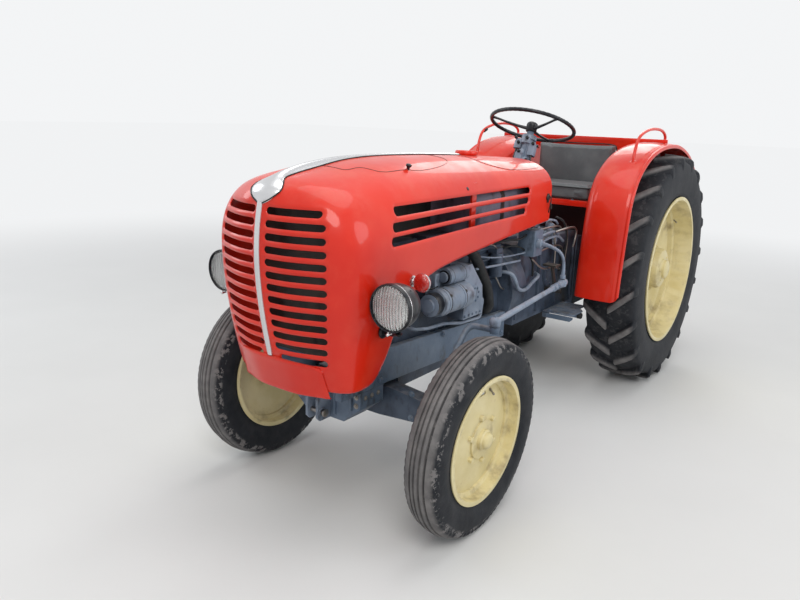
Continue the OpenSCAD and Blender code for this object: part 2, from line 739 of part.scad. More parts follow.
module grab_rails() {
  color(red) both_sides()
    bent_bar([on_fender(15, 0.6), on_fender(15, 45), [rail_x, ry(-552), 1572 + 2 * push],
      [rail_x, ry(-430), 1616 + 2 * push], [rail_x, ry(-250), 1629 + 2 * push], [rail_x, ry(-80), 1612 + 2 * push], on_fender(22, 40), on_fender(22, 0.6)], 9, 10);
}

back_y = -159;
bar_top = 1567 + 2 * push;
bar_end = 0.88;

// red board behind the seat back, resting on the crowns of both fenders
module back_bar() {
  crown = 1533 + 2 * push + gap;
  half = concat([[fender_in - gap, 1490 + 2 * push]],
    [for (q = fender_swell) if (q[0] < bar_end) [lerp(fender_in, fender_out, q[0]), crown + q[1] + 1]],
    [[lerp(fender_in, fender_out, bar_end), crown + 10], [lerp(fender_in, fender_out, bar_end), bar_top]]);
  color(red) front_plate(concat(half, [for (i = [len(half) - 1 : -1 : 0]) [-half[i][0], half[i][1]]]),
    ry(back_y) + gap, ry(back_y + 12));
}

module seat_deck() {
  color(red) {
    box(-fender_in + gap, fender_in - gap, ry(-590), ry(0), deck_z - 14, deck_z);
    box(-fender_in + gap, fender_in - gap, ry(-590), ry(-570), deck_z - 34, deck_z - 14);
    box(-185, 185, ry(-420), ry(-40), housing_top + gap, deck_z - 14);
  }
}

cushion_h = 89;
cushion_top = deck_z + cushion_h;
back_top = bar_top - 50;

module seat_cushion() {
  color(grey) box(-seat_w - 4, seat_w + 4, ry(-575), ry(back_y - 76), deck_z + gap, cushion_top);
}

module seat_back() {
  color(grey) box(-seat_w, seat_w, ry(back_y - 75), ry(back_y), deck_z + gap, back_top);
}

// Steps, controls and the driver's place
module footsteps() {
  color(blue) both_sides() translate([0, -push, 0]) {
    translate([0, 0, 552]) linear_extrude(height = 6) polygon([[165 + gap, ry(-895)], [360, ry(-895)],
      [360, ry(-740)], [320, ry(-690)], [320, ry(-600)], [165 + gap, ry(-600)]]);
    box(165 + gap, 360, ry(-895), ry(-889), 518, 552);
    x_tube(165 + gap, 364, ry(-765), 533, 18);
  }
}

module pedals() {
  color(dark) both_sides() {
    x_tube(165 + gap, 268, ry(-880), 690, 14);
    side_plate([[ry(-892), 690], [ry(-868), 690], [ry(-948), 746], [ry(-1008), 866], [ry(-1028), 866],
      [ry(-966), 732]], 252, 264);
    box(222, 300, ry(-1065), ry(-1000), 866, 876);
  }
}

module levers() {
  color(dark) {
    bent_bar([[0, ry(-850), gearbox_top + gap], [0, ry(-850), 1080], [0, ry(-800), 1160], [-20, ry(-770), 1225]], 9);
    translate([-20, ry(-770), 1235]) sphere(r = 20);
  }
}

hub_y = ry(-876);
hub_z = 1629;

// local frame of the steering column: +Z runs up the column to the driver
module on_column() {
  translate([0, hub_y, hub_z]) rotate([-wheel_tilt, 0, 0]) children();
}

module steering_column() {
  color(blue) {
    on_column() translate([0, 0, -656]) cylinder(r = 20, h = 618 - gap);
    on_column() translate([0, 0, -300]) cylinder(r = 34, h = 236);
    on_column() translate([0, 0, -92]) cylinder(r = 42, h = 28);
    on_column() translate([0, 0, -150]) rotate([90, 0, 25]) translate([0, 0, -70]) cylinder(r = 9, h = 60);
    box(-45, 45, ry(-1175), ry(-1055), gearbox_top + gap, 1018);
    box(165 + gap, drop_x - gap, ry(-1279), ry(-1180), drop_z - 70, drop_z + 70);
  }
}

module instrument_panel() {
  rim = [for (k = [4 : side_steps + crown_steps])
    let (q = shell_point(stations[len(stations) - 1], k, skin + gap)) [max(q[0], 0), q[2]]];
  color(red) {
    intersection() {
      front_plate(concat(rim, [for (i = [len(rim) - 2 : -1 : 0]) [-rim[i][0], rim[i][1]]]),
        bonnet_back - 6, bonnet_back - 2);
      box(-400, 400, bonnet_back - 20, bonnet_back + 20, 1140, 1600);
    }
    both_sides() box(100, 140, bonnet_back - 6, bonnet_back - 2, gearbox_top + gap, 1150);
    for (x = [-110, 0, 110]) y_tube(x, bonnet_back - 3, bonnet_back + 6, 1330, 40);
  }
}

hitch_r = 16;

module drawbar() {
  color(blue) {
    difference() {
      box(-40, 40, ry(200), ry(800), 430, 455);
      translate([0, ry(756), 420]) cylinder(r = hitch_r, h = 50);
    }
    both_sides() box(40, 60, ry(100), ry(260), 430, 520 - gap);
  }
}

module steering_wheel() {
  color(black) on_column() {
    rotate_extrude() translate([wheel_r, 0]) circle(r = 13, $fn = 24);
    for (i = [0 : 2]) {
      rotate([0, 0, 90 + i * 120]) bar([20, 0, -26], [wheel_r, 0, 0], 7);
    }
    translate([0, 0, -38]) cylinder(r = 30, h = 34);
    translate([0, 0, -4]) rotate_extrude() polygon([[0, 0], [30, 0], [28, 10], [20, 18], [8, 22], [0, 22.5]]);
  }
}

// Wheels, drawn about their own axis with +Z outwards
// groove across the front tyre's tread: both lips and the bottom, at distance c from the middle
function groove(c, r) = [[r, c - 4.5], [r - groove_depth, c - 3.5], [r - groove_depth, c + 3.5], [r, c + 4.5]];

groove_depth = 9;

module front_tyre() {
  w = front_tyre_w / 2;
  r = front_tyre_r;
  rotate_extrude($fn = 96) polygon(concat(
    [[front_rim_r - 13.6, -w * 0.72], [front_rim_r + 10, -w * 0.8], [front_rim_r + 50, -w], [r - 52, -w * 0.97],
      [r - 24, -w * 0.86], [r - 13, -w * 0.74]],
    groove(-31, r - 4), groove(-10.5, r - 0.6), groove(10.5, r - 0.6), groove(31, r - 4),
    [[r - 13, w * 0.74], [r - 24, w * 0.86], [r - 52, w * 0.97], [front_rim_r + 50, w],
      [front_rim_r + 10, w * 0.8], [front_rim_r - 13.6, w * 0.72]]));
}

module front_rim() {
  w = front_rim_w / 2;
  difference() {
    union() {
      rotate_extrude($fn = 96) polygon([
        [front_rim_r, -w], [front_rim_r, -w + 6], [front_rim_r - 14, -w + 8], [front_rim_r - 16, -18],
        [front_rim_r - 34, -10], [front_rim_r - 34, 14], [front_rim_r - 16, 22], [front_rim_r - 14, w - 8],
        [front_rim_r, w - 6], [front_rim_r, w], [front_rim_r - 20, w], [front_rim_r - 22, 22],
        [front_rim_r - 40, 16], [front_rim_r - 40, -14], [front_rim_r - 22, -20], [front_rim_r - 20, -w]]);
      difference() {
        rotate_extrude($fn = 96) polygon([
          [60, 30], [118, 30], [140, 22], [190, 16], [front_rim_r - 38, 6], [front_rim_r - 38, 0], [190, 9],
          [140, 15], [118, 22], [60, 22]]);
        // valve opening in the disc
        translate([-196, 0, 0]) linear_extrude(height = 60) square([30, 62], center = true);
      }
      translate([0, 0, -60]) cylinder(r = 42, h = 96);
      translate([0, 0, 20]) cylinder(r = 82, h = 18);
      rotate_extrude() polygon([[0, 30], [44, 30], [44, 52], [36, 56], [34, 66], [28, 72], [16, 75], [0, 76]]);
      for (i = [0 : 5]) {
        rotate([0, 0, 10 + i * 60]) translate([100, 0, 28]) linear_extrude(height = 16) circle(r = 12.5, $fn = 6);
      }
    }
    translate([0, 0, -70]) cylinder(r = spindle_r + pin_gap, h = 105);
  }
}

module front_wheel_place(side) {
  mirror([side < 0 ? 1 : 0, 0, 0])
    translate([front_track_x, front_y, front_z]) rotate([0, 90 + camber, 0]) children();
}

module front_tyre_left() {
  color(black) front_wheel_place(1) front_tyre();
}

module front_tyre_right() {
  color(black) front_wheel_place(-1) front_tyre();
}

module front_rim_left() {
  color(cream) front_wheel_place(1) front_rim();
}

module front_rim_right() {
  color(cream) front_wheel_place(-1) front_rim();
}

// section of the rear tyre: share of the half width, radius between lugs, radius on a lug, side;
// side is 0 on the flanks, -1 and 1 on the two halves of the tread
ts_w = 0;
ts_base = 1;
ts_lug = 2;
ts_side = 3;
half_section = [
  [0.84, rear_rim_r - 15.1, rear_rim_r - 15.1, 0],
  [0.9, rear_rim_r + 14, rear_rim_r + 14, 0],
  [1, rear_rim_r + 105, rear_rim_r + 105, 0],
  [0.985, rear_tyre_r - 84, rear_tyre_r - 80, 1],
  [0.95, rear_tyre_r - 54, rear_tyre_r - 18, 1],
  [0.62, rear_tyre_r - 37, rear_tyre_r - 5, 1],
  [0.3, rear_tyre_r - 30, rear_tyre_r - 1, 1],
  [0.05, rear_tyre_r - 28, rear_tyre_r, 1]];
rear_section = concat([for (v = half_section) [-v[ts_w], v[ts_base], v[ts_lug], -v[ts_side]]],
  [for (i = [len(half_section) - 1 : -1 : 0]) half_section[i]]);

// the four corners of a lug in turn, as shares of the pitch, and where they stand on a lug
left_turn = [0, 0.08, 0.36, 0.44];
left_up = [0, 1, 1, 0];
right_turn = [-0.14, -0.06, 0.5, 0.58];
right_up = [1, 0, 0, 1];
flank_turn = [-0.155, 0.095, 0.345, 0.595];

function tread_point(v, k, q) =
  let (turn = v[ts_side] == 0 ? flank_turn[q] : v[ts_side] < 0 ? left_turn[q] : right_turn[q])
  let (up = v[ts_side] < 0 ? left_up[q] : right_up[q])
  let (a = 360 * (k + turn) / lug_count - lug_slant * abs(v[ts_w]))
  let (r = v[ts_side] == 0 ? v[ts_base] : lerp(v[ts_base], v[ts_lug], up))
  [r * cos(a), r * sin(a), v[ts_w] * rear_tyre_w / 2];

module rear_tyre() {
  m = len(rear_section);
  n = lug_count * 4;
  faces = [for (i = [0 : n - 1]) for (j = [0 : m - 1])
    let (a = i * m + j)
    let (b = ((i + 1) % n) * m + j)
    let (c = ((i + 1) % n) * m + (j + 1) % m)
    let (d = i * m + (j + 1) % m)
    each [[a, c, b], [a, d, c]]];
  polyhedron(points = [for (k = [0 : lug_count - 1]) for (q = [0 : 3]) for (v = rear_section) tread_point(v, k, q)],
    faces = faces, convexity = 10);
}

module rear_rim() {
  w = rear_rim_w / 2;
  r = rear_rim_r;
  difference() {
    union() {
      rotate_extrude($fn = 120) polygon([
        [r, -w], [r, -w + 7], [r - 16, -w + 9], [r - 20, -30], [r - 44, -20], [r - 44, 20], [r - 20, 30],
        [r - 16, w - 9], [r, w - 7], [r, w], [r - 22, w], [r - 26, 30], [r - 50, 24], [r - 50, -24],
        [r - 26, -30], [r - 22, -w]]);
      rotate_extrude($fn = 120) polygon([
        [70, -20], [190, -20], [225, -44], [300, -56], [r - 70, -34], [r - 48, -20], [r - 48, -8], [r - 74, -22],
        [300, -44], [232, -34], [196, -8], [70, -8]]);
      translate([0, 0, -64]) cylinder(r = 80, h = 56);
      rotate_extrude() polygon([[0, -20], [104, -20], [104, 48], [98, 62], [84, 72], [60, 79], [0, 82]]);
      for (i = [0 : 7]) {
        rotate([0, 0, i * 45]) translate([146, 0, -10]) linear_extrude(height = 20) circle(r = 16, $fn = 6);
      }
    }
    translate([0, 0, -70]) cylinder(r = axle_r + pin_gap, h = 45);
  }
}

module rear_wheel_place(side) {
  mirror([side < 0 ? 1 : 0, 0, 0])
    translate([rear_track_x, rear_y, rear_tyre_r]) rotate([0, 90, 0]) children();
}

module rear_tyre_left() {
  color(black) rear_wheel_place(1) rear_tyre();
}

module rear_tyre_right() {
  color(black) rear_wheel_place(-1) rear_tyre();
}

module rear_rim_left() {
  color(cream) rear_wheel_place(1) rear_rim();
}

module rear_rim_right() {
  color(cream) rear_wheel_place(-1) rear_rim();
}

bonnet();
apron();
grille_strip();
radiator();
fuel_tank();
filler_cap();
headlights();
headlight_lenses();
turn_lamps();
frame_rails();
front_support();
front_axle();
engine();
generator();
intake_hose();
exhaust();
gearbox();
rear_axle();
fender_left();
fender_right();
grab_rails();
back_bar();
seat_deck();
seat_cushion();
seat_back();
footsteps();
pedals();
levers();
steering_column();
instrument_panel();
drawbar();
steering_wheel();
drop_arm();
drag_link();
knuckle_left();
knuckle_right();
track_rod();
front_tyre_left();
front_tyre_right();
front_rim_left();
front_rim_right();
rear_tyre_left();
rear_tyre_right();
rear_rim_left();
rear_rim_right();
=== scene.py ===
"""Looks of the vintage farm tractor: finishes, sheet metal, tyres, fittings, stage and camera."""

import math

import bmesh
import bpy
import numpy as np
from mathutils import Matrix, Vector


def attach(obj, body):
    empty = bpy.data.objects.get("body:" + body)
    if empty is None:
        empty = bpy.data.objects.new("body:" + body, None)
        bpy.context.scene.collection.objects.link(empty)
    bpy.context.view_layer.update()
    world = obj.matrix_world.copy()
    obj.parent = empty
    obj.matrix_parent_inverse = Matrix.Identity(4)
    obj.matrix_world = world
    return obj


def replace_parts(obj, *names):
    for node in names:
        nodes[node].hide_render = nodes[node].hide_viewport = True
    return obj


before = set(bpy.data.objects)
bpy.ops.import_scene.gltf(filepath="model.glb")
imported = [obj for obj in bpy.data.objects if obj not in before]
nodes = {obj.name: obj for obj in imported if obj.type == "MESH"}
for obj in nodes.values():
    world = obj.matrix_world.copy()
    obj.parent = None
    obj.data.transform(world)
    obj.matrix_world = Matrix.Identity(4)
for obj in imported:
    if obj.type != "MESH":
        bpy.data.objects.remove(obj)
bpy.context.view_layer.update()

# Driving places in metres, in the part's frame: y of the axles, of the bonnet's tip and of its back
REAR_Y = 1.106
FRONT_Y = REAR_Y - 2.389
TIP_Y = REAR_Y - 3.001
BACK_Y = REAR_Y - 1.137
# heights of the wheels' centres, half the tracks, and the front wheels' lean in degrees
REAR_Z, FRONT_Z = 0.739, 0.4157
REAR_HALF_TRACK, FRONT_HALF_TRACK = 0.492, 0.589
CAMBER = 2
SIDES = ((1, "left"), (-1, "right"))
# front and rear end of each cylinder head, counted from the rear axle
HEADS = ((-2.356, -2.082), (-2.068, -1.794), (-1.780, -1.506))


# Shader maths
class Value:
    """A shader socket that takes part in plain expressions."""

    def __init__(self, finish, socket):
        self.finish = finish
        self.socket = socket

    def _math(self, operation, *values):
        return self.finish.node(
            "ShaderNodeMath", {"operation": operation}, dict(enumerate(values))
        )

    def __add__(self, other):
        return self._math("ADD", self, other)

    __radd__ = __add__

    def __sub__(self, other):
        return self._math("SUBTRACT", self, other)

    def __rsub__(self, other):
        return self._math("SUBTRACT", other, self)

    def __mul__(self, other):
        return self._math("MULTIPLY", self, other)

    __rmul__ = __mul__

    def sine(self):
        return self._math("SINE", self)

    def clipped(self):
        return self._math("MINIMUM", self._math("MAXIMUM", self, 0.0), 1.0)

    def between(self, low, high):
        """0 below low, 1 above high, a smooth rise in between."""
        return self.finish.node(
            "ShaderNodeMapRange",
            {"interpolation_type": "SMOOTHSTEP"},
            {"Value": self, "From Min": low, "From Max": high},
        )

    def mix(self, low_colour, high_colour):
        """low_colour where this mask is 0, high_colour where it is 1."""
        return self.finish.node(
            "ShaderNodeMix",
            {"data_type": "RGBA"},
            {0: self, 6: low_colour, 7: high_colour},
            output=2,
        )


class Finish:
    """A material in the making; node() adds any node and gives its output."""

    def __init__(self, name, **fixed):
        self.material = bpy.data.materials.new(name)
        self.material.use_nodes = True
        self.tree = self.material.node_tree
        self.surface = self.tree.nodes["Principled BSDF"]
        self.feed(self.surface, {key.replace("_", " "): v for key, v in fixed.items()})
        self.place = self.node("ShaderNodeTexCoord", output="Object")
        geometry = self.node("ShaderNodeNewGeometry", output="Normal")
        self.upward = self.part(geometry, "Z")

    def node(self, kind, settings=None, inputs=None, output=0):
        made = self.tree.nodes.new(kind)
        for name, value in (settings or {}).items():
            setattr(made, name, value)
        self.feed(made, inputs or {})
        return Value(self, made.outputs[output])

    def feed(self, made, inputs):
        for name, value in inputs.items():
            socket = made.inputs[name]
            if isinstance(value, Value):
                self.tree.links.new(value.socket, socket)
            elif socket.type == "RGBA" and len(value) == 3:
                socket.default_value = (*value, 1)
            else:
                socket.default_value = value

    def part(self, vector, axis):
        return self.node("ShaderNodeSeparateXYZ", inputs={0: vector}, output=axis)

    def stretched(self, x=1.0, y=1.0, z=1.0):
        return self.node(
            "ShaderNodeVectorMath",
            {"operation": "MULTIPLY"},
            {0: self.place, 1: (x, y, z)},
        )

    def noise(self, scale, detail=4.0, place=None, roughness=0.55):
        return self.node(
            "ShaderNodeTexNoise",
            inputs={
                "Vector": place or self.place,
                "Scale": scale,
                "Detail": detail,
                "Roughness": roughness,
            },
        )

    def grains(self, scale):
        return self.node(
            "ShaderNodeTexVoronoi",
            inputs={"Vector": self.place, "Scale": scale},
            output="Distance",
        )

    def from_hub(self, y, z):
        """Distance from a wheel's centre line, which runs along X at y and z."""
        flat = self.node(
            "ShaderNodeVectorMath", {"operation": "MULTIPLY"}, {0: self.place, 1: (0, 1, 1)}
        )
        return self.node(
            "ShaderNodeVectorMath",
            {"operation": "DISTANCE"},
            {0: flat, 1: (0, y, z)},
            output="Value",
        )

    def done(self, colour, roughness, height=None, **others):
        """Feeds the surface; height is its fine relief in metres."""
        inputs = {"Base Color": colour, "Roughness": roughness}
        if height is not None:
            inputs["Normal"] = self.node(
                "ShaderNodeBump",
                inputs={"Height": height, "Distance": 1.0, "Strength": 1.0},
                output="Normal",
            )
        inputs.update({key.replace("_", " "): v for key, v in others.items()})
        self.feed(self.surface, inputs)
        return self.material


# Finishes
def red_enamel(name, painted_shade_below=None):
    """Glossy red enamel on hand-beaten sheet, a little faded and dusty on top."""
    f = Finish(name, Coat_Roughness=0.06, Coat_IOR=1.45, Specular_IOR_Level=0.22)
    patches = f.noise(2.3, 3)
    cloudy = f.noise(14, 5)
    specks = f.noise(420, 2)
    dust = (f.upward.between(0.2, 0.95) * f.noise(9, 5).between(0.35, 0.75)) * 0.16
    colour = patches.between(0.3, 0.7).mix((0.60, 0.014, 0.003), (0.70, 0.026, 0.008))
    colour = (cloudy.between(0.45, 0.8) * 0.35).mix(colour, (0.66, 0.050, 0.022))
    colour = (specks.between(0.72, 0.8) * 0.5).mix(colour, (0.42, 0.02, 0.01))
    colour = dust.mix(colour, (0.62, 0.42, 0.34))
    # painted shade: below the given height the enamel turns near black and loses its gloss coat, standing in
    # for the shade low on the seat deck
    if painted_shade_below:
        painted_shade = 1 - f.part(f.place, "Z").between(painted_shade_below - 0.004, painted_shade_below)
        colour = (painted_shade * 0.97).mix(colour, (0.012, 0.011, 0.012))
    sheet = f.noise(5.5, 2) * 0.0022 + f.noise(260, 2) * 0.00004
    return f.done(
        colour,
        0.3 + cloudy * 0.16 + dust * 0.8,
        sheet,
        Coat_Weight=(0.5 - dust * 1.6) if not painted_shade_below else (0.5 - painted_shade * 0.5),
    )


def casting_paint(name, colour, faded, oil, dust_share):
    """Satin machine paint over sand castings, oily in the hollows and dusty on top."""
    f = Finish(name, Coat_Roughness=0.3, Coat_Weight=0.06, Specular_IOR_Level=0.3)
    patches = f.noise(6, 4)
    oily = f.noise(17, 6, f.stretched(1, 1, 0.55)).between(0.5, 0.72)
    dust = f.upward.between(0.1, 0.9) * f.noise(24, 5).between(0.3, 0.7) * dust_share
    colour = patches.between(0.3, 0.72).mix(colour, faded)
    colour = (oily * 0.75).mix(colour, oil)
    colour = f.noise(90, 4).between(0.68, 0.76).mix(colour, (0.10, 0.055, 0.03))
    colour = dust.mix(colour, (0.30, 0.28, 0.25))
    grit = f.noise(330, 3) * 0.0006 + f.noise(60, 3) * 0.0008
    return f.done(colour, 0.5 - oily * 0.22 + dust * 0.5, grit)


def cream_enamel(name, hub_y, hub_z, rim_r):
    """Cream wheel paint with rust bleeding out of the joints and road dirt round the hub."""
    f = Finish(name, Coat_Roughness=0.25, Coat_Weight=0.15)
    across = f.from_hub(hub_y, hub_z)
    patches = f.noise(5, 4)
    rust = f.noise(38, 7, roughness=0.7).between(0.58, 0.78)
    streaks = f.noise(11, 5).between(0.45, 0.75)
    rim_dirt = across.between(rim_r * 0.72, rim_r * 0.9)
    rim_dirt = rim_dirt * (1 - across.between(rim_r * 0.93, rim_r * 0.99)) * 0.8
    hub_dirt = (1 - across.between(rim_r * 0.24, rim_r * 0.46)) * 0.5
    colour = patches.between(0.3, 0.7).mix((0.64, 0.54, 0.26), (0.73, 0.64, 0.37))
    colour = (rust * 0.4).mix(colour, (0.32, 0.17, 0.06))
    colour = (streaks * (rim_dirt + hub_dirt)).clipped().mix(colour, (0.22, 0.16, 0.09))
    dents = f.noise(26, 3) * 0.0012 + rust * 0.0004
    return f.done(colour, 0.42 + streaks * 0.2, dents)


def tyre_rubber(name, hub, tread_from, tread_to, scuff):
    """Weathered tyre rubber: matt black flanks, road dust on what touches the ground."""
    f = Finish(name, Specular_IOR_Level=0.16)
    across = f.from_hub(*hub)
    worn = across.between(tread_from, tread_to)
    blotch = f.noise(19, 6).between(0.32, 0.72)
    grit = f.noise(240, 3)
    scuffs = f.noise(27, 7, roughness=0.7).between(0.53, 0.56)
    shoulder = across.between(tread_from - 0.030, tread_from - 0.016) * (1 - worn) * scuffs * scuff
    dust = worn * (0.60 + blotch * 0.32) + blotch * 0.06 + shoulder
    colour = f.noise(7, 4).between(0.3, 0.7).mix((0.010, 0.012, 0.016), (0.021, 0.023, 0.028))
    colour = (dust * 0.68).clipped().mix(colour, (0.30, 0.285, 0.28))
    skin = grit * 0.0005 + f.noise(70, 3) * 0.0007
    return f.done(colour, 0.58 + dust * 0.3, skin)


def black_gloss(name, colour, roughness, coat):
    """Black lacquer or hard rubber with handling marks."""
    f = Finish(name, Coat_Roughness=0.08, Coat_Weight=coat, Specular_IOR_Level=0.3)
    marks = f.noise(34, 5)
    dust = f.upward.between(0.3, 0.95) * f.noise(21, 4).between(0.35, 0.7) * 0.12
    shade = marks.between(0.35, 0.75).mix(colour, tuple(c * 1.9 + 0.004 for c in colour))
    shade = dust.mix(shade, (0.3, 0.28, 0.26))
    return f.done(
        shade, roughness + marks * 0.15 + dust, f.noise(180, 3) * 0.0003
    )


def bright_plate(name, colour, roughness, metal=1.0):
    """Plated or bare metal with fine scratches and dull spots."""
    f = Finish(name)
    spots = f.noise(22, 4).between(0.58, 0.8)
    scratches = f.noise(150, 3, f.stretched(1, 0.08, 1))
    shade = (spots * 0.55).mix(colour, tuple(c * 0.55 for c in colour))
    return f.done(
        shade,
        roughness + spots * 0.25 + scratches * 0.1,
        scratches * 0.000012,
        Metallic=metal - spots * 0.25 * metal,
    )


def leathercloth():
    """Grained grey-black seat covering, dusty and rubbed paler on its crown."""
    f = Finish("grey_leathercloth", Sheen_Weight=0.15, Sheen_Roughness=0.5)
    grain = f.grains(420)
    folds = f.noise(60, 4)
    rubbed = f.noise(7, 4).between(0.35, 0.7)
    shade = rubbed.mix((0.072, 0.082, 0.088), (0.112, 0.124, 0.130))
    shade = (f.noise(30, 5).between(0.55, 0.8) * 0.25).mix(shade, (0.17, 0.165, 0.155))
    return f.done(
        shade,
        0.42 + rubbed * 0.14,
        grain * 0.0005 + folds * 0.0005,
    )


def lamp_mirror():
    """Silvered bowl with painted light: bright below as a painted reflection of the sky, darker above as
    painted shade, with tarnish spots above.
    """
    f = Finish("lamp_reflector")
    # painted reflection and painted shade: near white low in the bowl, grey high in it; the spots are tarnish
    height = f.part(f.place, "Z").between(0.985, 1.035)
    spots = f.noise(120, 5).between(0.5, 0.7)
    shade = (height * (0.55 + spots * 0.4)).mix((0.96, 0.97, 0.98), (0.40, 0.41, 0.40))
    return f.done(shade, 0.16 + spots * 0.15, f.noise(40, 3) * 0.0004, Metallic=0.9)


def lamp_glass():
    """Clear pressed glass with a film of dust."""
    f = Finish("lamp_glass", Transmission_Weight=0.92, IOR=1.45)
    film = f.noise(30, 5)
    return f.done(
        film.between(0.3, 0.8).mix((0.99, 0.99, 0.99), (0.92, 0.93, 0.92)),
        0.03 + film * 0.1,
        (f.part(f.place, "X") * 520).sine() * 0.0011 + (f.part(f.place, "Z") * 150).sine() * 0.0006,
    )


def red_lens():
    """Deep red pressed lens."""
    f = Finish("red_lens", Coat_Weight=0.8, Coat_Roughness=0.05, Transmission_Weight=0.25)
    film = f.noise(40, 4)
    return f.done(
        film.mix((0.46, 0.012, 0.008), (0.62, 0.03, 0.02)),
        0.16 + film * 0.2,
        f.grains(160) * 0.0012,
    )


RED = red_enamel("red_enamel")
# the seat deck's enamel, with painted shade below 1.156 m
DECK_RED = red_enamel("deck_enamel", painted_shade_below=1.156)
BLUE_GREY = casting_paint(
    "blue_grey_paint", (0.085, 0.125, 0.185), (0.145, 0.19, 0.255), (0.014, 0.015, 0.018), 0.45
)
# painted shade: a darker copy of the blue-grey paint for the parts that sit in shade under the bonnet and the
# nose; oil darkens them too
OILY_AND_SHADED_BLUE = casting_paint(
    "oily_and_shaded_blue_paint", (0.030, 0.044, 0.070), (0.075, 0.10, 0.145), (0.006, 0.006, 0.008), 0.3
)
# painted light: a paler copy of the blue-grey paint for the parts that stand in the light
LIT_BLUE = casting_paint(
    "lit_blue_paint", (0.17, 0.215, 0.29), (0.27, 0.32, 0.40), (0.035, 0.04, 0.05), 0.3
)
TANK_GREY = casting_paint(
    "tank_grey_paint", (0.15, 0.135, 0.19), (0.21, 0.19, 0.25), (0.03, 0.028, 0.035), 0.3
)
SOOT_BLACK = casting_paint(
    "soot_black", (0.022, 0.021, 0.021), (0.05, 0.042, 0.036), (0.01, 0.01, 0.01), 0.3
)
FRONT_HUB = (FRONT_Y, FRONT_Z)
REAR_HUB = (REAR_Y, REAR_Z)
FRONT_CREAM = cream_enamel("front_cream_enamel", *FRONT_HUB, 0.27)
REAR_CREAM = cream_enamel("rear_cream_enamel", *REAR_HUB, 0.47)
FRONT_RUBBER = tyre_rubber("front_tyre_rubber", FRONT_HUB, 0.392, 0.408, 0.8)
REAR_RUBBER = tyre_rubber("rear_tyre_rubber", REAR_HUB, 0.712, 0.734, 0.12)
BLACK_LACQUER = black_gloss("black_lacquer", (0.005, 0.006, 0.009), 0.24, 0.12)
BLACK_RUBBER = black_gloss("black_rubber", (0.009, 0.010, 0.011), 0.5, 0.03)
BRIGHT = bright_plate("bright_trim", (0.66, 0.66, 0.67), 0.2)
NUT_STEEL = bright_plate("nut_steel", (0.30, 0.28, 0.26), 0.38)
REFLECTOR = lamp_mirror()
LEATHERCLOTH = leathercloth()
LAMP_GLASS = lamp_glass()
RED_LENS = red_lens()
DIAL_WHITE = black_gloss("dial_white", (0.62, 0.62, 0.58), 0.4, 0.1)


# Mesh makers
def lerp(a, b, t):
    return a + (b - a) * t


def around(count, start=0.0):
    """Angles at even distances round a full circle."""
    return [start + 2 * math.pi * k / count for k in range(count)]


def spun(profile, sides):
    """Rows of points round the Z axis, one row for each radius and height of the profile."""
    return [[(r * math.cos(a), r * math.sin(a), h) for a in around(sides)] for r, h in profile]


def from_axle(points):
    """Places whose y is counted from the rear axle."""
    return [(x, REAR_Y + y, z) for x, y, z in points]


def smooth_table(rows, steps, mirror_start=None):
    """Rows of numbers with steps - 1 even places between each two, on a smooth line."""
    rows = np.array(rows, float)
    first = mirror_start if mirror_start is not None else 2 * rows[0] - rows[1]
    whole = np.vstack([first, rows, 2 * rows[-1] - rows[-2]])
    line = []
    for i in range(1, len(rows)):
        before, start, end, after = whole[i - 1 : i + 3]
        gaps = [max(np.linalg.norm(b - a), 1e-6) ** 0.5 for a, b in
                ((before, start), (start, end), (end, after))]
        slope_in = (start - before) / gaps[0] - (end - before) / (gaps[0] + gaps[1]) + (end - start) / gaps[1]
        slope_out = (end - start) / gaps[1] - (after - start) / (gaps[1] + gaps[2]) + (after - end) / gaps[2]
        for t in np.linspace(0, 1, steps, endpoint=False):
            u, w = t * t, t * t * t
            line.append(
                (2 * w - 3 * u + 1) * start
                + (w - 2 * u + t) * gaps[1] * slope_in
                + (3 * u - 2 * w) * end
                + (w - u) * gaps[1] * slope_out
            )
    return np.array(line + [rows[-1]])


def even_line(points, count):
    """The same line with count places at even distances."""
    points = np.array(points, float)
    far = np.concatenate([[0], np.cumsum(np.linalg.norm(np.diff(points, axis=0), axis=1))])
    at = np.linspace(0, far[-1], count)
    return np.stack([np.interp(at, far, points[:, k]) for k in range(points.shape[1])], 1)


def facing(place, direction, turn=0.0):
    """Local frame at place with its +Z along direction."""
    quaternion = Vector(direction).to_track_quat("Z", "Y")
    upright = Matrix.Translation(place) @ quaternion.to_matrix().to_4x4()
    return upright @ Matrix.Rotation(turn, 4, "Z")


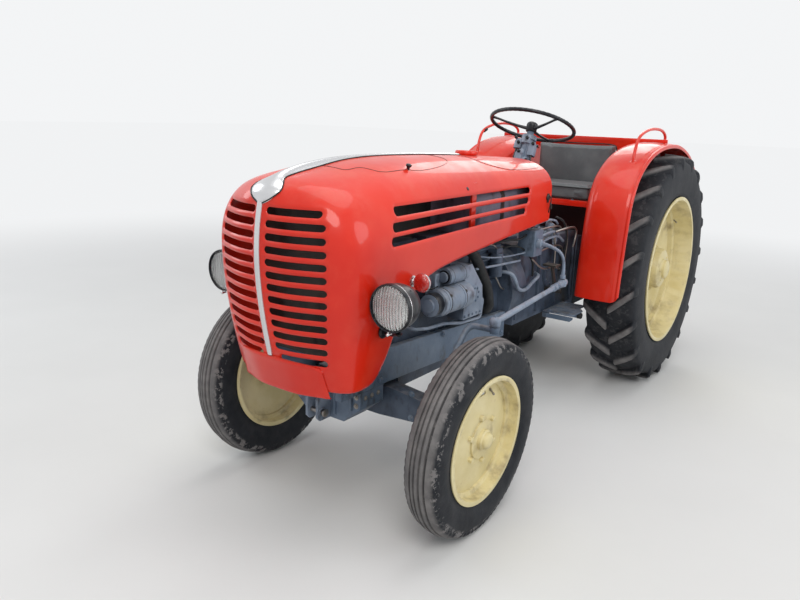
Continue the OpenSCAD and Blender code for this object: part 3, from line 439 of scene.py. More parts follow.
class Shape:
    """Points and faces of one piece, put together from turned, swept and framed forms."""

    def __init__(self):
        self.points = []
        self.faces = []

    def add(self, points, faces, place=None):
        start = len(self.points)
        self.points += [tuple(place @ Vector(p)) if place else tuple(p) for p in points]
        self.faces += [tuple(start + i for i in face) for face in faces]

    def rows(self, rows, place=None, round_rows=False, round_columns=False, ends=False):
        """Quads between rows of points of the same length."""
        n, m = len(rows), len(rows[0])
        points = [p for row in rows for p in row]
        faces = [
            (i * m + j, i * m + (j + 1) % m, (i + 1) % n * m + (j + 1) % m, (i + 1) % n * m + j)
            for i in range(n if round_rows else n - 1)
            for j in range(m if round_columns else m - 1)
        ]
        if ends:
            faces += [tuple(range(m - 1, -1, -1)), tuple((n - 1) * m + j for j in range(m))]
        self.add(points, faces, place)

    def turned(self, profile, place, sides=40):
        """Solid of revolution about the place's Z, from a profile of radius and height."""
        self.rows(spun(profile, sides), place, round_columns=True, ends=True)

    def ring(self, profile, place, sides=96):
        """Closed ring of revolution about the place's Z, from a closed profile."""
        self.rows(spun(profile, sides), place, round_rows=True, round_columns=True)

    def rod(self, path, radius, sides=16, steps=6, place=None):
        """Round bar along a smooth line through the path; radius may be one per path point."""
        radii = radius if hasattr(radius, "__len__") else [radius] * len(path)
        line = smooth_table([(*p, r) for p, r in zip(path, radii)], steps)
        rows, across = [], None
        for i, point in enumerate(line):
            ahead = Vector(line[min(i + 1, len(line) - 1)][:3]) - Vector(line[max(i - 1, 0)][:3])
            ahead.normalize()
            if across is None:
                across = ahead.orthogonal()
            across = (across - ahead * across.dot(ahead)).normalized()
            other = ahead.cross(across)
            centre = Vector(point[:3])
            rows.append(
                [
                    centre + (across * math.cos(a) + other * math.sin(a)) * point[3]
                    for a in around(sides)
                ]
            )
        self.rows(rows, place, round_columns=True, ends=True)

    def plate(self, outline, thickness, place=None):
        """Flat plate of any outline given as x and y, thick along Z."""
        n = len(outline)
        points = [(x, y, 0) for x, y in outline] + [(x, y, thickness) for x, y in outline]
        faces = [tuple(range(n - 1, -1, -1)), tuple(range(n, 2 * n))]
        faces += [(i, (i + 1) % n, n + (i + 1) % n, n + i) for i in range(n)]
        self.add(points, faces, place)

    def bolt(self, place, direction, radius, height=None, washer=True):
        """Chamfered hexagon head on its washer, with the end of its thread."""
        height = height or radius * 0.75
        seat = facing(place, direction, turn=0.3)
        if washer:
            self.turned([(radius * 1.35, 0), (radius * 1.35, 0.0015), (radius, 0.0016)], seat, 20)
        self.turned([(radius, 0.0015), (radius, height * 0.8), (radius * 0.84, height)], seat, 6)
        thread = [(radius * 0.45, height * 0.9), (radius * 0.45, height * 1.35),
                  (radius * 0.3, height * 1.45)]
        self.turned(thread, seat, 12)

    def bolts(self, places, direction, radius, washer=True):
        for place in places:
            self.bolt(place, direction, radius, washer=washer)

    def piece(self, name, material, body="chassis", slot=None, crease=40, bevel=0.0, thick=0.0, merge=False):
        """The finished object, riding on its body."""
        mesh = bpy.data.meshes.new(name)
        mesh.from_pydata(self.points, [], self.faces)
        if merge:
            build = bmesh.new()
            build.from_mesh(mesh)
            bmesh.ops.remove_doubles(build, verts=build.verts, dist=0.00005)
            bmesh.ops.recalc_face_normals(build, faces=build.faces)
            build.to_mesh(mesh)
            build.free()
        mesh.materials.append(material)
        mesh.polygons.foreach_set("use_smooth", [True] * len(mesh.polygons))
        piece = bpy.data.objects.new(name, mesh)
        bpy.context.scene.collection.objects.link(piece)
        if thick:
            shell = piece.modifiers.new("sheet", "SOLIDIFY")
            shell.thickness = thick
            shell.offset = -1
        if bevel:
            edges = piece.modifiers.new("edges", "BEVEL")
            edges.width = bevel
            edges.segments = 2
            edges.limit_method = "ANGLE"
            edges.angle_limit = math.radians(32)
        if crease:
            split = piece.modifiers.new("creases", "EDGE_SPLIT")
            split.split_angle = math.radians(crease)
            split.use_edge_sharp = False
        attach(piece, body)
        return piece


def carry(names, material):
    """CAD pieces that show as they are: cast edges rounded, curves smooth, a real finish."""
    for name in names:
        piece = nodes[name]
        piece.data.materials.clear()
        piece.data.materials.append(material)
        piece.data.polygons.foreach_set("use_smooth", [True] * len(piece.data.polygons))
        if "custom_normal" in piece.data.attributes:
            piece.data.attributes.remove(piece.data.attributes["custom_normal"])
        weld = piece.modifiers.new("weld", "WELD")
        weld.merge_threshold = 0.00004
        flats = piece.modifiers.new("flats", "DECIMATE")
        flats.decimate_type = "DISSOLVE"
        flats.angle_limit = math.radians(1.2)
        rounding = piece.modifiers.new("edges", "BEVEL")
        rounding.width = 0.0016
        rounding.segments = 2
        rounding.limit_method = "ANGLE"
        rounding.angle_limit = math.radians(40)
        split = piece.modifiers.new("creases", "EDGE_SPLIT")
        split.split_angle = math.radians(38)
        split.use_edge_sharp = False


# Bonnet
# behind the tip, half width, crown height, widest height, share of the nose's lean
STATIONS = [
    (0.000, 0.000, 1.394, 1.160, 1.00),
    (0.005, 0.101, 1.402, 1.160, 0.98),
    (0.020, 0.161, 1.412, 1.160, 0.95),
    (0.040, 0.213, 1.422, 1.159, 0.90),
    (0.064, 0.264, 1.430, 1.159, 0.80),
    (0.095, 0.307, 1.438, 1.158, 0.65),
    (0.135, 0.337, 1.444, 1.157, 0.45),
    (0.185, 0.352, 1.451, 1.156, 0.22),
    (0.260, 0.357, 1.461, 1.155, 0.00),
    (0.440, 0.349, 1.487, 1.165, 0.00),
    (0.620, 0.336, 1.497, 1.180, 0.00),
    (0.900, 0.317, 1.496, 1.205, 0.00),
    (1.250, 0.296, 1.486, 1.236, 0.00),
    (1.550, 0.282, 1.474, 1.263, 0.00),
    (1.864, 0.272, 1.457, 1.288, 0.00),
]
STATION_LINE = smooth_table(STATIONS, 24, mirror_start=np.array((0.005, -0.101, 1.402, 1.160, 0.98)))
BACKBONE = STATION_LINE[np.argsort(STATION_LINE[:, 0], kind="stable")]
# lowest edge of the nose, foremost height, height where the nose is widest, height of the brow
NOSE_Z, FOREMOST_Z, WIDEST_Z, BROW_Z = 0.646, 1.165, 1.160, 1.402
# the flank draws in by this share of its width over this depth
FLANK_DRAW, FLANK_DEPTH = 0.125, 0.480
# a section's crown is a rounded square of this power
CROWN_POWER = 2.5
CROWN_STEPS = 18
# rows of points up the flank: sparse below the skirt's top, close above it
SKIRT_LOW, SKIRT_TOP, SKIRT_ROWS = 0.600, 0.7499, 16
ROW_STEP, FLANK_ROWS = 0.0058, 104
SLOT_ENDS = (0.224, 0.245, 0.252, 0.256, 0.257, 0.256, 0.255, 0.252, 0.248, 0.244, 0.239, 0.233, 0.227)
SLOT_TOP, SLOT_PITCH, SLOT_R = 1.330, 0.0464, 0.013
SLOT_START, LAST_SLOT_START = 0.042, 0.062
SLOTS = [
    (SLOT_TOP - SLOT_PITCH * i, LAST_SLOT_START if i == len(SLOT_ENDS) - 1 else SLOT_START, end)
    for i, end in enumerate(SLOT_ENDS)
]
# how far behind the tip the slots reach, and where the louvres begin, behind it and across
SLOT_REACH, LOUVRE_START, LOUVRE_SIDE = 0.19, 0.20, 0.20
# y and height of the front end, y and height of the rear end
LOUVRES = [
    (REAR_Y - 2.599, 1.323, REAR_Y - 1.418, 1.319),
    (REAR_Y - 2.628, 1.266, REAR_Y - 1.434, 1.268),
    (REAR_Y - 2.642, 1.214, REAR_Y - 1.463, 1.217),
]
LOUVRE_R = (0.018, 0.015)
# behind the tip, height over the nose's lowest edge
LOWER_EDGE = smooth_table(
    [
        (-0.10, 0.0), (0.10, 0.005), (0.282, 0.014), (0.313, 0.032), (0.346, 0.080), (0.374, 0.140),
        (0.395, 0.194), (0.427, 0.259), (0.474, 0.316), (0.541, 0.363), (0.630, 0.393),
        (0.729, 0.411), (1.30, 0.451), (1.914, 0.491),
    ],
    6,
)


def station_at(d):
    """Half width, crown height, widest height and lean share at a distance behind the tip."""
    return [float(np.interp(d, BACKBONE[:, 0], BACKBONE[:, k])) for k in (1, 2, 3, 4)]


def nose_lean(z, share):
    """How far the nose falls back at a height."""
    if z > FOREMOST_Z:
        return share * 0.027 * ((z - FOREMOST_Z) / 0.218) ** 2
    return share * 0.062 * (max(FOREMOST_Z - z, 0) / 0.402) ** 1.7


def crown_share(share):
    """Width left at a share of the crown's rise."""
    return max(1 - share**CROWN_POWER, 0) ** (1 / CROWN_POWER)


def flank_x(w, top, mid, z):
    """Half width of a section at height z."""
    if z <= mid:
        return w * (1 - FLANK_DRAW * ((mid - z) / FLANK_DEPTH) ** 2)
    return w * crown_share(min((z - mid) / (top - mid), 1))


def hole_distance(x, y, z):
    """Distance from the nearest cut edge of the bonnet, negative within a cut."""
    near = 1.0
    if y < TIP_Y + SLOT_REACH:
        for mid, x0, x1 in SLOTS:
            near = min(near, math.hypot(max(x0 - x, 0, x - x1), z - mid) - SLOT_R)
    if x > LOUVRE_SIDE and y > TIP_Y + LOUVRE_START:
        for y0, z0, y1, z1 in LOUVRES:
            along = (y1 - y0, z1 - z0)
            t = ((y - y0) * along[0] + (z - z0) * along[1]) / (along[0] ** 2 + along[1] ** 2)
            t = min(max(t, 0), 1)
            off = math.hypot(y - y0 - t * along[0], z - z0 - t * along[1])
            near = min(near, off - lerp(*LOUVRE_R, t))
    return near


def edge_distance(y, z):
    """Height over the bonnet's lower edge, measured square to it."""
    d, step = y - TIP_Y, 0.004
    low, ahead = (NOSE_Z + float(np.interp(at, LOWER_EDGE[:, 0], LOWER_EDGE[:, 1])) for at in (d, d + step))
    return (z - low) / math.hypot(1, (ahead - low) / step)


def bonnet_columns():
    """Places along the half plan of the bonnet, close together where slots and louvres end."""
    plan = STATION_LINE[:, :2]
    far = np.concatenate([[0], np.cumsum(np.linalg.norm(np.diff(plan, axis=0), axis=1))])
    spots, at = [0.0], 0.0
    while at < far[-1]:
        d = float(np.interp(at, far, plan[:, 0]))
        w = float(np.interp(at, far, plan[:, 1]))
        slot_end = d < 0.1 and (w < 0.075 or 0.205 < w < 0.285)
        louvre_end = 0.335 < d < 0.43 or 1.51 < d < 1.63
        at += 0.0052 if slot_end or louvre_end else 0.011 if d < 0.34 else 0.03
        spots.append(min(at, far[-1]))
    return [np.array([np.interp(s, far, STATION_LINE[:, k]) for k in range(5)]) for s in spots]


def clipped_sheet(rows, distances):
    """Grid of points as faces, cut along the line where the distance crosses zero."""
    n, m = len(rows), len(rows[0])
    points = [Vector(p) for row in rows for p in row]
    field = [d for row in distances for d in row]
    cuts, faces = {}, []

    def cut(i, j):
        key = (min(i, j), max(i, j))
        if key not in cuts:
            t = field[key[0]] / (field[key[0]] - field[key[1]])
            cuts[key] = len(points)
            points.append(points[key[0]].lerp(points[key[1]], t))
            field.append(0.0)
        return cuts[key]

    for i in range(n - 1):
        for j in range(m - 1):
            corners = (i * m + j, (i + 1) * m + j, (i + 1) * m + j + 1, i * m + j + 1)
            if all(field[c] < 0 for c in corners):
                continue
            face = []
            for a, b in zip(corners, corners[1:] + corners[:1]):
                if field[a] >= 0:
                    face.append(a)
                if (field[a] >= 0) != (field[b] >= 0):
                    face.append(cut(a, b))
            face = [c for k, c in enumerate(face) if c != face[k - 1]]
            if len(face) > 2:
                faces.append(tuple(face))
    return points, field, faces


def bonnet_grid():
    """Rows of points over the left half of the bonnet, and each point's distance from a cut edge."""
    heights = list(np.linspace(SKIRT_LOW, SKIRT_TOP, SKIRT_ROWS))
    heights += [SKIRT_TOP + ROW_STEP * k for k in range(1, FLANK_ROWS + 1)]
    rows, distances = [], []
    for d, w, top, mid, share in bonnet_columns():
        row = [(flank_x(w, top, mid, z), TIP_Y + d + nose_lean(z, share), z) for z in heights]
        start = math.asin(min(((heights[-1] - mid) / (top - mid)) ** (CROWN_POWER / 2), 1))
        for k in range(1, CROWN_STEPS + 1):
            a = lerp(start, math.pi / 2, k / CROWN_STEPS)
            z = mid + (top - mid) * math.sin(a) ** (2 / CROWN_POWER)
            x = 0.0 if k == CROWN_STEPS else w * math.cos(a) ** (2 / CROWN_POWER)
            row.append((x, TIP_Y + d + nose_lean(z, share), z))
        rows.append(row)
        distances.append([min(hole_distance(*p), edge_distance(p[1], p[2])) for p in row])
    return rows, distances


def make_bonnet():
    """The whole sheet, both halves, turned in along every cut edge."""
    points, field, faces = clipped_sheet(*bonnet_grid())
    used = sorted({c for face in faces for c in face})
    index = {c: i for i, c in enumerate(used)}
    whole = [tuple(index[c] for c in f) for f in faces]
    half = bpy.data.meshes.new("half")
    half.from_pydata([points[c] for c in used], [], whole)
    lip_width, lip_depth = 0.011, 0.0062
    moved = []
    for vertex, c in zip(half.vertices, used):
        near = min(max(field[c], 0) / lip_width, 1)
        out = vertex.normal if vertex.normal.x >= -0.2 else -vertex.normal
        on_centre = vertex.co.x <= 1e-6
        moved.append(vertex.co.copy() if on_centre else vertex.co - out * (lip_depth * (1 - near) ** 2))
    shell = Shape()
    shell.add(moved, whole)
    shell.add([(-p.x, p.y, p.z) for p in moved], [f[::-1] for f in whole])
    bpy.data.meshes.remove(half)
    bonnet = shell.piece("bonnet_sheet", RED, slot="red_paint", thick=0.0028, crease=55, merge=True)
    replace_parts(bonnet, "bonnet")


def on_crown(d, x, lift=0.0):
    """Point of the bonnet's upper side, lifted off it."""
    step = 0.01
    w, top, mid, share = station_at(d)
    c = (abs(x) / w) ** (CROWN_POWER / 2) if w > abs(x) else 1
    z = mid + (top - mid) * max(1 - c * c, 0) ** (1 / CROWN_POWER)
    here = Vector((x, TIP_Y + d + nose_lean(z, share), z))
    slope = (station_at(d + step)[1] - top) / step
    sideways = 0.9 * x / w * (abs(x) / w) ** 1.5 if w > 0.02 else 0
    return here + Vector((sideways, -slope, 1)).normalized() * lift


# Nose trim
# place on the middle line, place at the edges, half width, rise: heights for the foot, then
# distances behind the tip for the rib
SPADE_FOOT = [(1.350, 1.350, 0.009, 0.008), (1.374, 1.368, 0.044, 0.008), (1.388, 1.383, 0.063, 0.009)]
RIB = [
    (0.008, 0.020, 0.073, 0.010), (0.020, 0.031, 0.069, 0.012), (0.038, 0.046, 0.057, 0.014),
    (0.062, 0.070, 0.037, 0.017), (0.095, 0.098, 0.025, 0.020), (0.146, 0.146, 0.019, 0.023),
    (0.218, 0.218, 0.017, 0.025), (0.290, 0.290, 0.016, 0.024), (0.365, 0.365, 0.015, 0.020),
    (0.440, 0.440, 0.013, 0.015), (0.530, 0.530, 0.011, 0.011), (0.620, 0.620, 0.010, 0.009),
    (0.900, 0.900, 0.009, 0.008), (1.250, 1.250, 0.009, 0.007), (1.335, 1.335, 0.009, 0.006),
]


def nose_d(w):
    """Distance behind the tip at which the nose is w wide to one side."""
    front = BACKBONE[BACKBONE[:, 0] < 0.28]
    return float(np.interp(w, np.maximum.accumulate(front[:, 1]), front[:, 0]))


def on_brow(x, z):
    """Point of the nose between its widest height and the brow."""
    share = max(0, z - WIDEST_Z) / (BROW_Z - WIDEST_Z)
    return Vector((x, TIP_Y + nose_d(abs(x) / crown_share(min(share, 0.97))) + nose_lean(z, 1), z))


def nose_y(x, z):
    """The nose's front at a place below its widest height."""
    d = nose_d(abs(x) / (1 - FLANK_DRAW * ((WIDEST_Z - z) / FLANK_DEPTH) ** 2))
    return TIP_Y + d + nose_lean(z, station_at(d)[3])


def trim_rows():
    """Sections of the spade's foot and of the rib that follows, each from edge to edge."""
    across = np.linspace(1, -1, 15)
    loops = []
    out = facing_out(25)
    for mid, edge, half, rise in SPADE_FOOT:
        loops.append(
            [on_brow(u * half, lerp(mid, edge, u * u)) + out * ((1 - u * u) * rise + 0.003) for u in across]
        )
    for mid, edge, half, rise in RIB:
        loop = []
        for u in across:
            d = lerp(mid, edge, u * u)
            out = facing_out(lerp(30, 90, min(1, d / 0.08)))
            under = lerp(0.003, 0.0012, min(1, d / 0.07))
            loop.append(on_crown(d, u * half) + out * ((1 - u * u) ** 0.8 * rise + under))
        loops.append(loop)
    sunk = Vector((0, 0.004, -0.006))
    rows = []
    for row in smooth_table([[c for p in loop for c in p] for loop in loops], 5):
        points = [Vector(row[k : k + 3]) for k in range(0, len(row), 3)]
        rows.append([points[0] + sunk, *points, points[-1] + sunk])
    return rows


def facing_out(tilt):
    """Direction out of the nose, tilted up by so many degrees."""
    return Vector((0, -math.cos(math.radians(tilt)), math.sin(math.radians(tilt))))


def make_nose_trim():
    """The spade on the brow with its rib along the crown, and the strip down the nose."""
    rows = trim_rows()
    shape = Shape()
    shape.rows(rows, round_columns=True, ends=True)
    # half width and depth of the strip's section, from its back edge over its face
    section = [(-0.011, 0.002), (-0.011, -0.007), (-0.0075, -0.0103), (0, -0.011)]
    section += [(-x, y) for x, y in section[-2::-1]]
    strip = []
    for z in np.linspace(0.776, 1.356, 40):
        strip.append([(x, TIP_Y + nose_lean(z, 1) + y, z) for x, y in section])
    shape.rows(strip, round_columns=True, ends=True)
    # painted shadow: thin black rods along both edges of the spade and its rib stand in for the shadow under
    # their raised edges
    edge_shadow = Shape()
    for end in (1, -2):
        edge_shadow.rod([row[end] + Vector((0, -0.0008, 0.0004)) for row in rows], 0.0026, sides=10, steps=1)
    edge_shadow.piece("trim_edge_shadow", BLACK_RUBBER, slot="hose_rubber", crease=50)
    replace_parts(shape.piece("nose_trim", BRIGHT, slot="bright_metal", crease=50), "grille_strip")


# height and lift off the nose, from the apron's top edge to its rolled foot
APRON_LINE = [
    (0.771, 0.000), (0.770, 0.006), (0.766, 0.0078), (0.758, 0.0064), (0.735, 0.0062), (0.700, 0.0062),
    (0.665, 0.0062), (0.645, 0.0066), (0.636, 0.0078), (0.632, 0.006), (0.633, 0.0015),
]
APRON_TOP, APRON_FOOT, APRON_HALF = 0.766, 0.632, 0.216


def make_apron():
    """Lower nose panel with its rolled edge."""
    rows = []
    for z, lift in APRON_LINE:
        dip = (z - APRON_FOOT) / 0.139
        half = APRON_HALF * (1 + 0.045 * (APRON_TOP - z) / (APRON_TOP - APRON_FOOT))
        row = []
        for u in np.linspace(-1, 1, 41):
            end = max(abs(u) - 0.965, 0) / 0.035
            sag = 0.014 * abs(u) ** 3 * dip + 0.016 * max((abs(u) - 0.90) / 0.10, 0) ** 2.5 * dip
            lower = z - 0.002 - sag
            row.append((u * half, nose_y(u * half, lower) - lift + 0.005 * end**2, lower))
        rows.append(row)
    shape = Shape()
    shape.rows(rows)
    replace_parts(shape.piece("nose_apron", RED, slot="red_paint", thick=0.003), "apron")


# seams in the crown as half outlines: place across, distance behind the tip
CROWN_SEAMS = (
    ((0.012, 0.322), (0.060, 0.325), (0.124, 0.331), (0.139, 0.400), (0.196, 0.452), (0.204, 0.604),
     (0.215, 0.694), (0.176, 0.947), (0.137, 1.007), (0.060, 1.020), (0.012, 1.022)),
    ((0.058, 1.262), (0.161, 1.270), (0.208, 1.384), (0.221, 1.572), (0.210, 1.801)),
)


def make_crown_seams():
    """Edges of the two flaps in the crown, their knob, hole and the filler cap."""
    seams = Shape()
    for side, _ in SIDES:
        for outline in CROWN_SEAMS:
            path = [on_crown(d, side * x, 0.0004) for x, d in smooth_table(outline, 4)]
            seams.rod(path, 0.0012, sides=6, steps=1)
    seams.piece("crown_seams", SOOT_BLACK, slot="black_paint")
    knob = Shape()
    knob.turned(
        [(0.006, -0.004), (0.0065, 0.006), (0.010, 0.009), (0.0125, 0.014), (0.011, 0.019), (0.006, 0.021)],
        facing(on_crown(0.630, 0.200), (0.25, 0, 1)), 24,
    )
    knob.turned([(0.009, -0.002), (0.0095, 0.0008), (0.006, 0.0012)],
                facing(on_crown(0.964, 0.283), (0.8, 0, 0.6)), 20)
    knob.piece("crown_knob", BLACK_LACQUER, slot="black_paint", bevel=0.0008)
    cap = Shape()
    place = Matrix.Translation((0, REAR_Y - 1.590, 1.4804)) @ Matrix.Rotation(math.radians(-2.3), 4, "X")
    cap.turned(
        [(0.044, 0.0), (0.052, 0.0005), (0.0535, 0.006), (0.0555, 0.008), (0.056, 0.018), (0.053, 0.0225),
         (0.040, 0.0235), (0.036, 0.0215), (0.012, 0.0215), (0.008, 0.0235)],
        place, 60,
    )
    grip_r = 0.0545
    for a in around(10):
        spot = place @ Matrix.Translation((grip_r * math.cos(a), grip_r * math.sin(a), 0.013))
        cap.turned([(0.0035, -0.006), (0.0035, 0.006), (0.002, 0.0072)], spot, 10)
    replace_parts(cap.piece("filler_cap_lid", RED, slot="red_paint"), "filler_cap")


# Fenders
# y from the rear axle and height of the crown line
FENDER_LINE = [
    (-0.848, 0.668), (-0.838, 0.800), (-0.824, 0.940), (-0.806, 1.086), (-0.782, 1.214), (-0.750, 1.290),
    (-0.699, 1.360), (-0.603, 1.432), (-0.481, 1.486), (-0.320, 1.521), (-0.150, 1.533), (0.046, 1.522),
    (0.269, 1.464), (0.430, 1.378), (0.562, 1.266), (0.668, 1.128), (0.738, 0.968), (0.760, 0.856),
]
FENDER_IN, FENDER_OUT = 0.322, 0.596
CORNER_R = 0.045
# depth of the inner wall under the crown line, and of the row of rivets in it
WALL_DEPTH, RIVET_DEPTH = 0.044, 0.060
# y and height of the inner wall's lower corners
WALL_FOOT = [(0.560, 0.900), (-0.560, 0.900), (-0.700, 0.720)]
WALL_BOLTS = [(-0.655, 0.80), (-0.50, 0.96), (-0.30, 1.14), (-0.62, 1.12)]
# share of the width from the inner to the outer edge, height over the line
FENDER_SWELL = [
    (0.000, -0.044), (0.004, -0.036), (0.020, -0.026), (0.050, -0.0155), (0.090, -0.007), (0.140, -0.001),
    (0.200, 0.005), (0.290, 0.009), (0.380, 0.012), (0.490, 0.0135), (0.600, 0.014), (0.700, 0.013),
    (0.800, 0.011), (0.870, 0.0085), (0.915, 0.0062), (0.930, 0.0030), (0.940, 0.0028), (0.952, 0.0056),
    (0.972, 0.0066), (0.990, 0.0036), (0.999, -0.002), (1.000, -0.010), (0.990, -0.016),
]


def make_fender(side, name):
    """Crowned fender with rounded corners, its inner wall, rivets and bolts."""
    path = even_line(smooth_table(FENDER_LINE, 8), 150)
    slopes = np.gradient(path, axis=0)
    slopes /= np.linalg.norm(slopes, axis=1)[:, None]
    outward = np.stack([-slopes[:, 1], slopes[:, 0]], 1)
    length = np.concatenate([[0], np.cumsum(np.linalg.norm(np.diff(path, axis=0), axis=1))])
    rows, distances = [], []
    for (y, z), out, far in zip(path, outward, length):
        row, field = [], []
        for share, swell in FENDER_SWELL:
            row.append((lerp(FENDER_IN, FENDER_OUT, share), REAR_Y + y + out[0] * swell, z + out[1] * swell))
            a = CORNER_R - (1 - share) * (FENDER_OUT - FENDER_IN)
            b = CORNER_R - min(far, length[-1] - far)
            field.append(CORNER_R - math.hypot(a, b) if a > 0 and b > 0 else 1.0)
        rows.append(row)
        distances.append(field)
    points, _, faces = clipped_sheet(rows, distances)
    shape = Shape()
    shape.add(points, [f[::-1] for f in faces])
    inner = [(y - out[0] * WALL_DEPTH, z - out[1] * WALL_DEPTH) for (y, z), out in zip(path, outward)]
    wall = from_axle((FENDER_IN + 0.003, y, z) for y, z in inner + WALL_FOOT)
    shape.add(wall, [tuple(range(len(wall)))])
    if side < 0:
        shape.points = [(-x, y, z) for x, y, z in shape.points]
        shape.faces = [f[::-1] for f in shape.faces]
    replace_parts(shape.piece(f"{name}_sheet", RED, slot="red_paint", thick=0.003, crease=60), name)
    rivets = Shape()
    for (y, z), out in list(zip(path, outward))[8:142:9]:
        spot = (side * (FENDER_IN - 0.0002), REAR_Y + y - out[0] * RIVET_DEPTH, z - out[1] * RIVET_DEPTH)
        rivets.turned([(0.0062, 0), (0.0055, 0.0022), (0.003, 0.0036)], facing(spot, (-side, 0, 0)), 12)
    rivets.bolts(from_axle((side * FENDER_IN, y, z) for y, z in WALL_BOLTS), (-side, 0, 0), 0.009)
    rivets.piece(f"{name}_rivets", RED, slot="red_paint")


# y from the rear axle and height
GRAB_LINE = [
    (-0.606, 1.4425), (-0.596, 1.490), (-0.552, 1.572), (-0.430, 1.616), (-0.250, 1.629), (-0.100, 1.612),
    (-0.046, 1.580), (-0.052, 1.545),
]
GRAB_X = 0.514


def make_grab_rails():
    """Round rails on the fenders, the right one with a rubber sleeve."""
    rails, sleeve = Shape(), Shape()
    for side, _ in SIDES:
        path = from_axle((side * GRAB_X, y, z) for y, z in GRAB_LINE)
        rails.rod(path, 0.0088, sides=18)
        for foot, out in ((path[0], (0, -0.5, 0.86)), (path[-1], (0, 0.02, 1))):
            rails.turned([(0.020, -0.003), (0.021, 0.002), (0.019, 0.004), (0.011, 0.005)],
                         facing(foot, out), 24)
    sleeve.rod(from_axle([(-GRAB_X, -0.535, 1.579), (-GRAB_X, -0.500, 1.5925)]), 0.0125, sides=20, steps=3)
    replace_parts(rails.piece("grab_rail_bars", RED, slot="red_paint", crease=50), "grab_rails")
    sleeve.piece("rail_sleeve", BLACK_RUBBER, slot="hose_rubber", bevel=0.002)


# Tyres
def wheel_place(side, front):
    """Local frame of a wheel, its Z outward along the axle."""
    if front:
        place = Matrix.Translation((side * FRONT_HALF_TRACK, FRONT_Y, FRONT_Z))
        return place @ Matrix.Rotation(math.radians(side * (90 + CAMBER)), 4, "Y")
    place = Matrix.Translation((side * REAR_HALF_TRACK, REAR_Y, REAR_Z))
    return place @ Matrix.Rotation(math.radians(side * 90), 4, "Y")


# place across the tread from the inner to the outer side, and radius
FRONT_TREAD = [
    (-0.0540, 0.2579), (-0.0575, 0.2660), (-0.0600, 0.2815), (-0.0680, 0.2980),
    (-0.0740, 0.3200), (-0.0750, 0.3400), (-0.0735, 0.3620), (-0.0690, 0.3800), (-0.0655, 0.3870),
    (-0.0662, 0.3905), (-0.0615, 0.3975), (-0.0540, 0.4035), (-0.0360, 0.4085), (-0.0345, 0.4000),
    (-0.0275, 0.4000), (-0.0262, 0.4110), (-0.0155, 0.4142), (-0.0142, 0.4055), (-0.0072, 0.4055),
    (-0.0060, 0.4157), (0.0060, 0.4157), (0.0072, 0.4055), (0.0142, 0.4055), (0.0155, 0.4142),
    (0.0262, 0.4110), (0.0275, 0.4000), (0.0345, 0.4000), (0.0360, 0.4085), (0.0540, 0.4035),
    (0.0615, 0.3975), (0.0662, 0.3905), (0.0655, 0.3870), (0.0690, 0.3800), (0.0735, 0.3620),
    (0.0750, 0.3400), (0.0740, 0.3200), (0.0680, 0.2980), (0.0600, 0.2815),
    (0.0575, 0.2660), (0.0540, 0.2579),
]
# rows of the tread that carry the saw-tooth edge, and those of them on the shoulder's face
SHOULDER, SHOULDER_FACE = {8, 9, 10, 29, 30, 31}, {8, 9, 30, 31}
TEETH = (1.0, 1.0, 0.72, 0.3, 0.0)
TOOTH_COUNT = 76


def make_front_tyre(side, word):
    """Ribbed front tyre whose shoulder ribs end in a saw-tooth edge."""
    rows = []
    for i, (h, r) in enumerate(FRONT_TREAD):
        bite = 0.0085 if i in SHOULDER_FACE else 0.0012
        row = []
        for k, a in enumerate(around(TOOTH_COUNT * len(TEETH))):
            tooth = TEETH[k % len(TEETH)] if i in SHOULDER else 0.0
            r2 = r - bite * tooth
            row.append((r2 * math.cos(a), r2 * math.sin(a), h * (1 + 0.055 * tooth)))
        rows.append(row)
    shape = Shape()
    shape.rows(rows, wheel_place(side, True), round_rows=True, round_columns=True)
    tyre = shape.piece(f"front_tread_{word}", FRONT_RUBBER, f"front_wheel_{word}", "tyre_rubber", crease=46)
    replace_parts(tyre, f"front_tyre_{word}")


# place across and radius, from the bead to the middle of the tread
REAR_FLANK = [
    (0.1327, 0.4594), (0.1380, 0.4700), (0.1430, 0.4885), (0.1475, 0.4960),
    (0.1480, 0.5010), (0.1500, 0.5150), (0.1560, 0.5500), (0.1580, 0.5795), (0.1580, 0.6050),
    (0.1562, 0.6340), (0.1546, 0.6550), (0.1515, 0.6720), (0.1450, 0.6850), (0.1300, 0.6930),
    (0.0980, 0.7005), (0.0470, 0.7078), (0.0080, 0.7090),
]
# place across at the root, root radius, place across at the crown of the lug, its radius
LUG_LINE = [
    (0.0020, 0.7060, 0.0060, 0.7370), (0.0120, 0.7060, 0.0130, 0.7385), (0.0480, 0.7060, 0.0480, 0.7380),
    (0.0980, 0.6990, 0.0985, 0.7348), (0.1300, 0.6900, 0.1330, 0.7290), (0.1430, 0.6820, 0.1500, 0.7190),
    (0.1500, 0.6680, 0.1568, 0.6950), (0.1535, 0.6520, 0.1578, 0.6660), (0.1545, 0.6420, 0.1574, 0.6500),
]
LUG_COUNT = 20
# how far a lug sweeps back over half the tyre, in degrees
LUG_SWEEP = 11


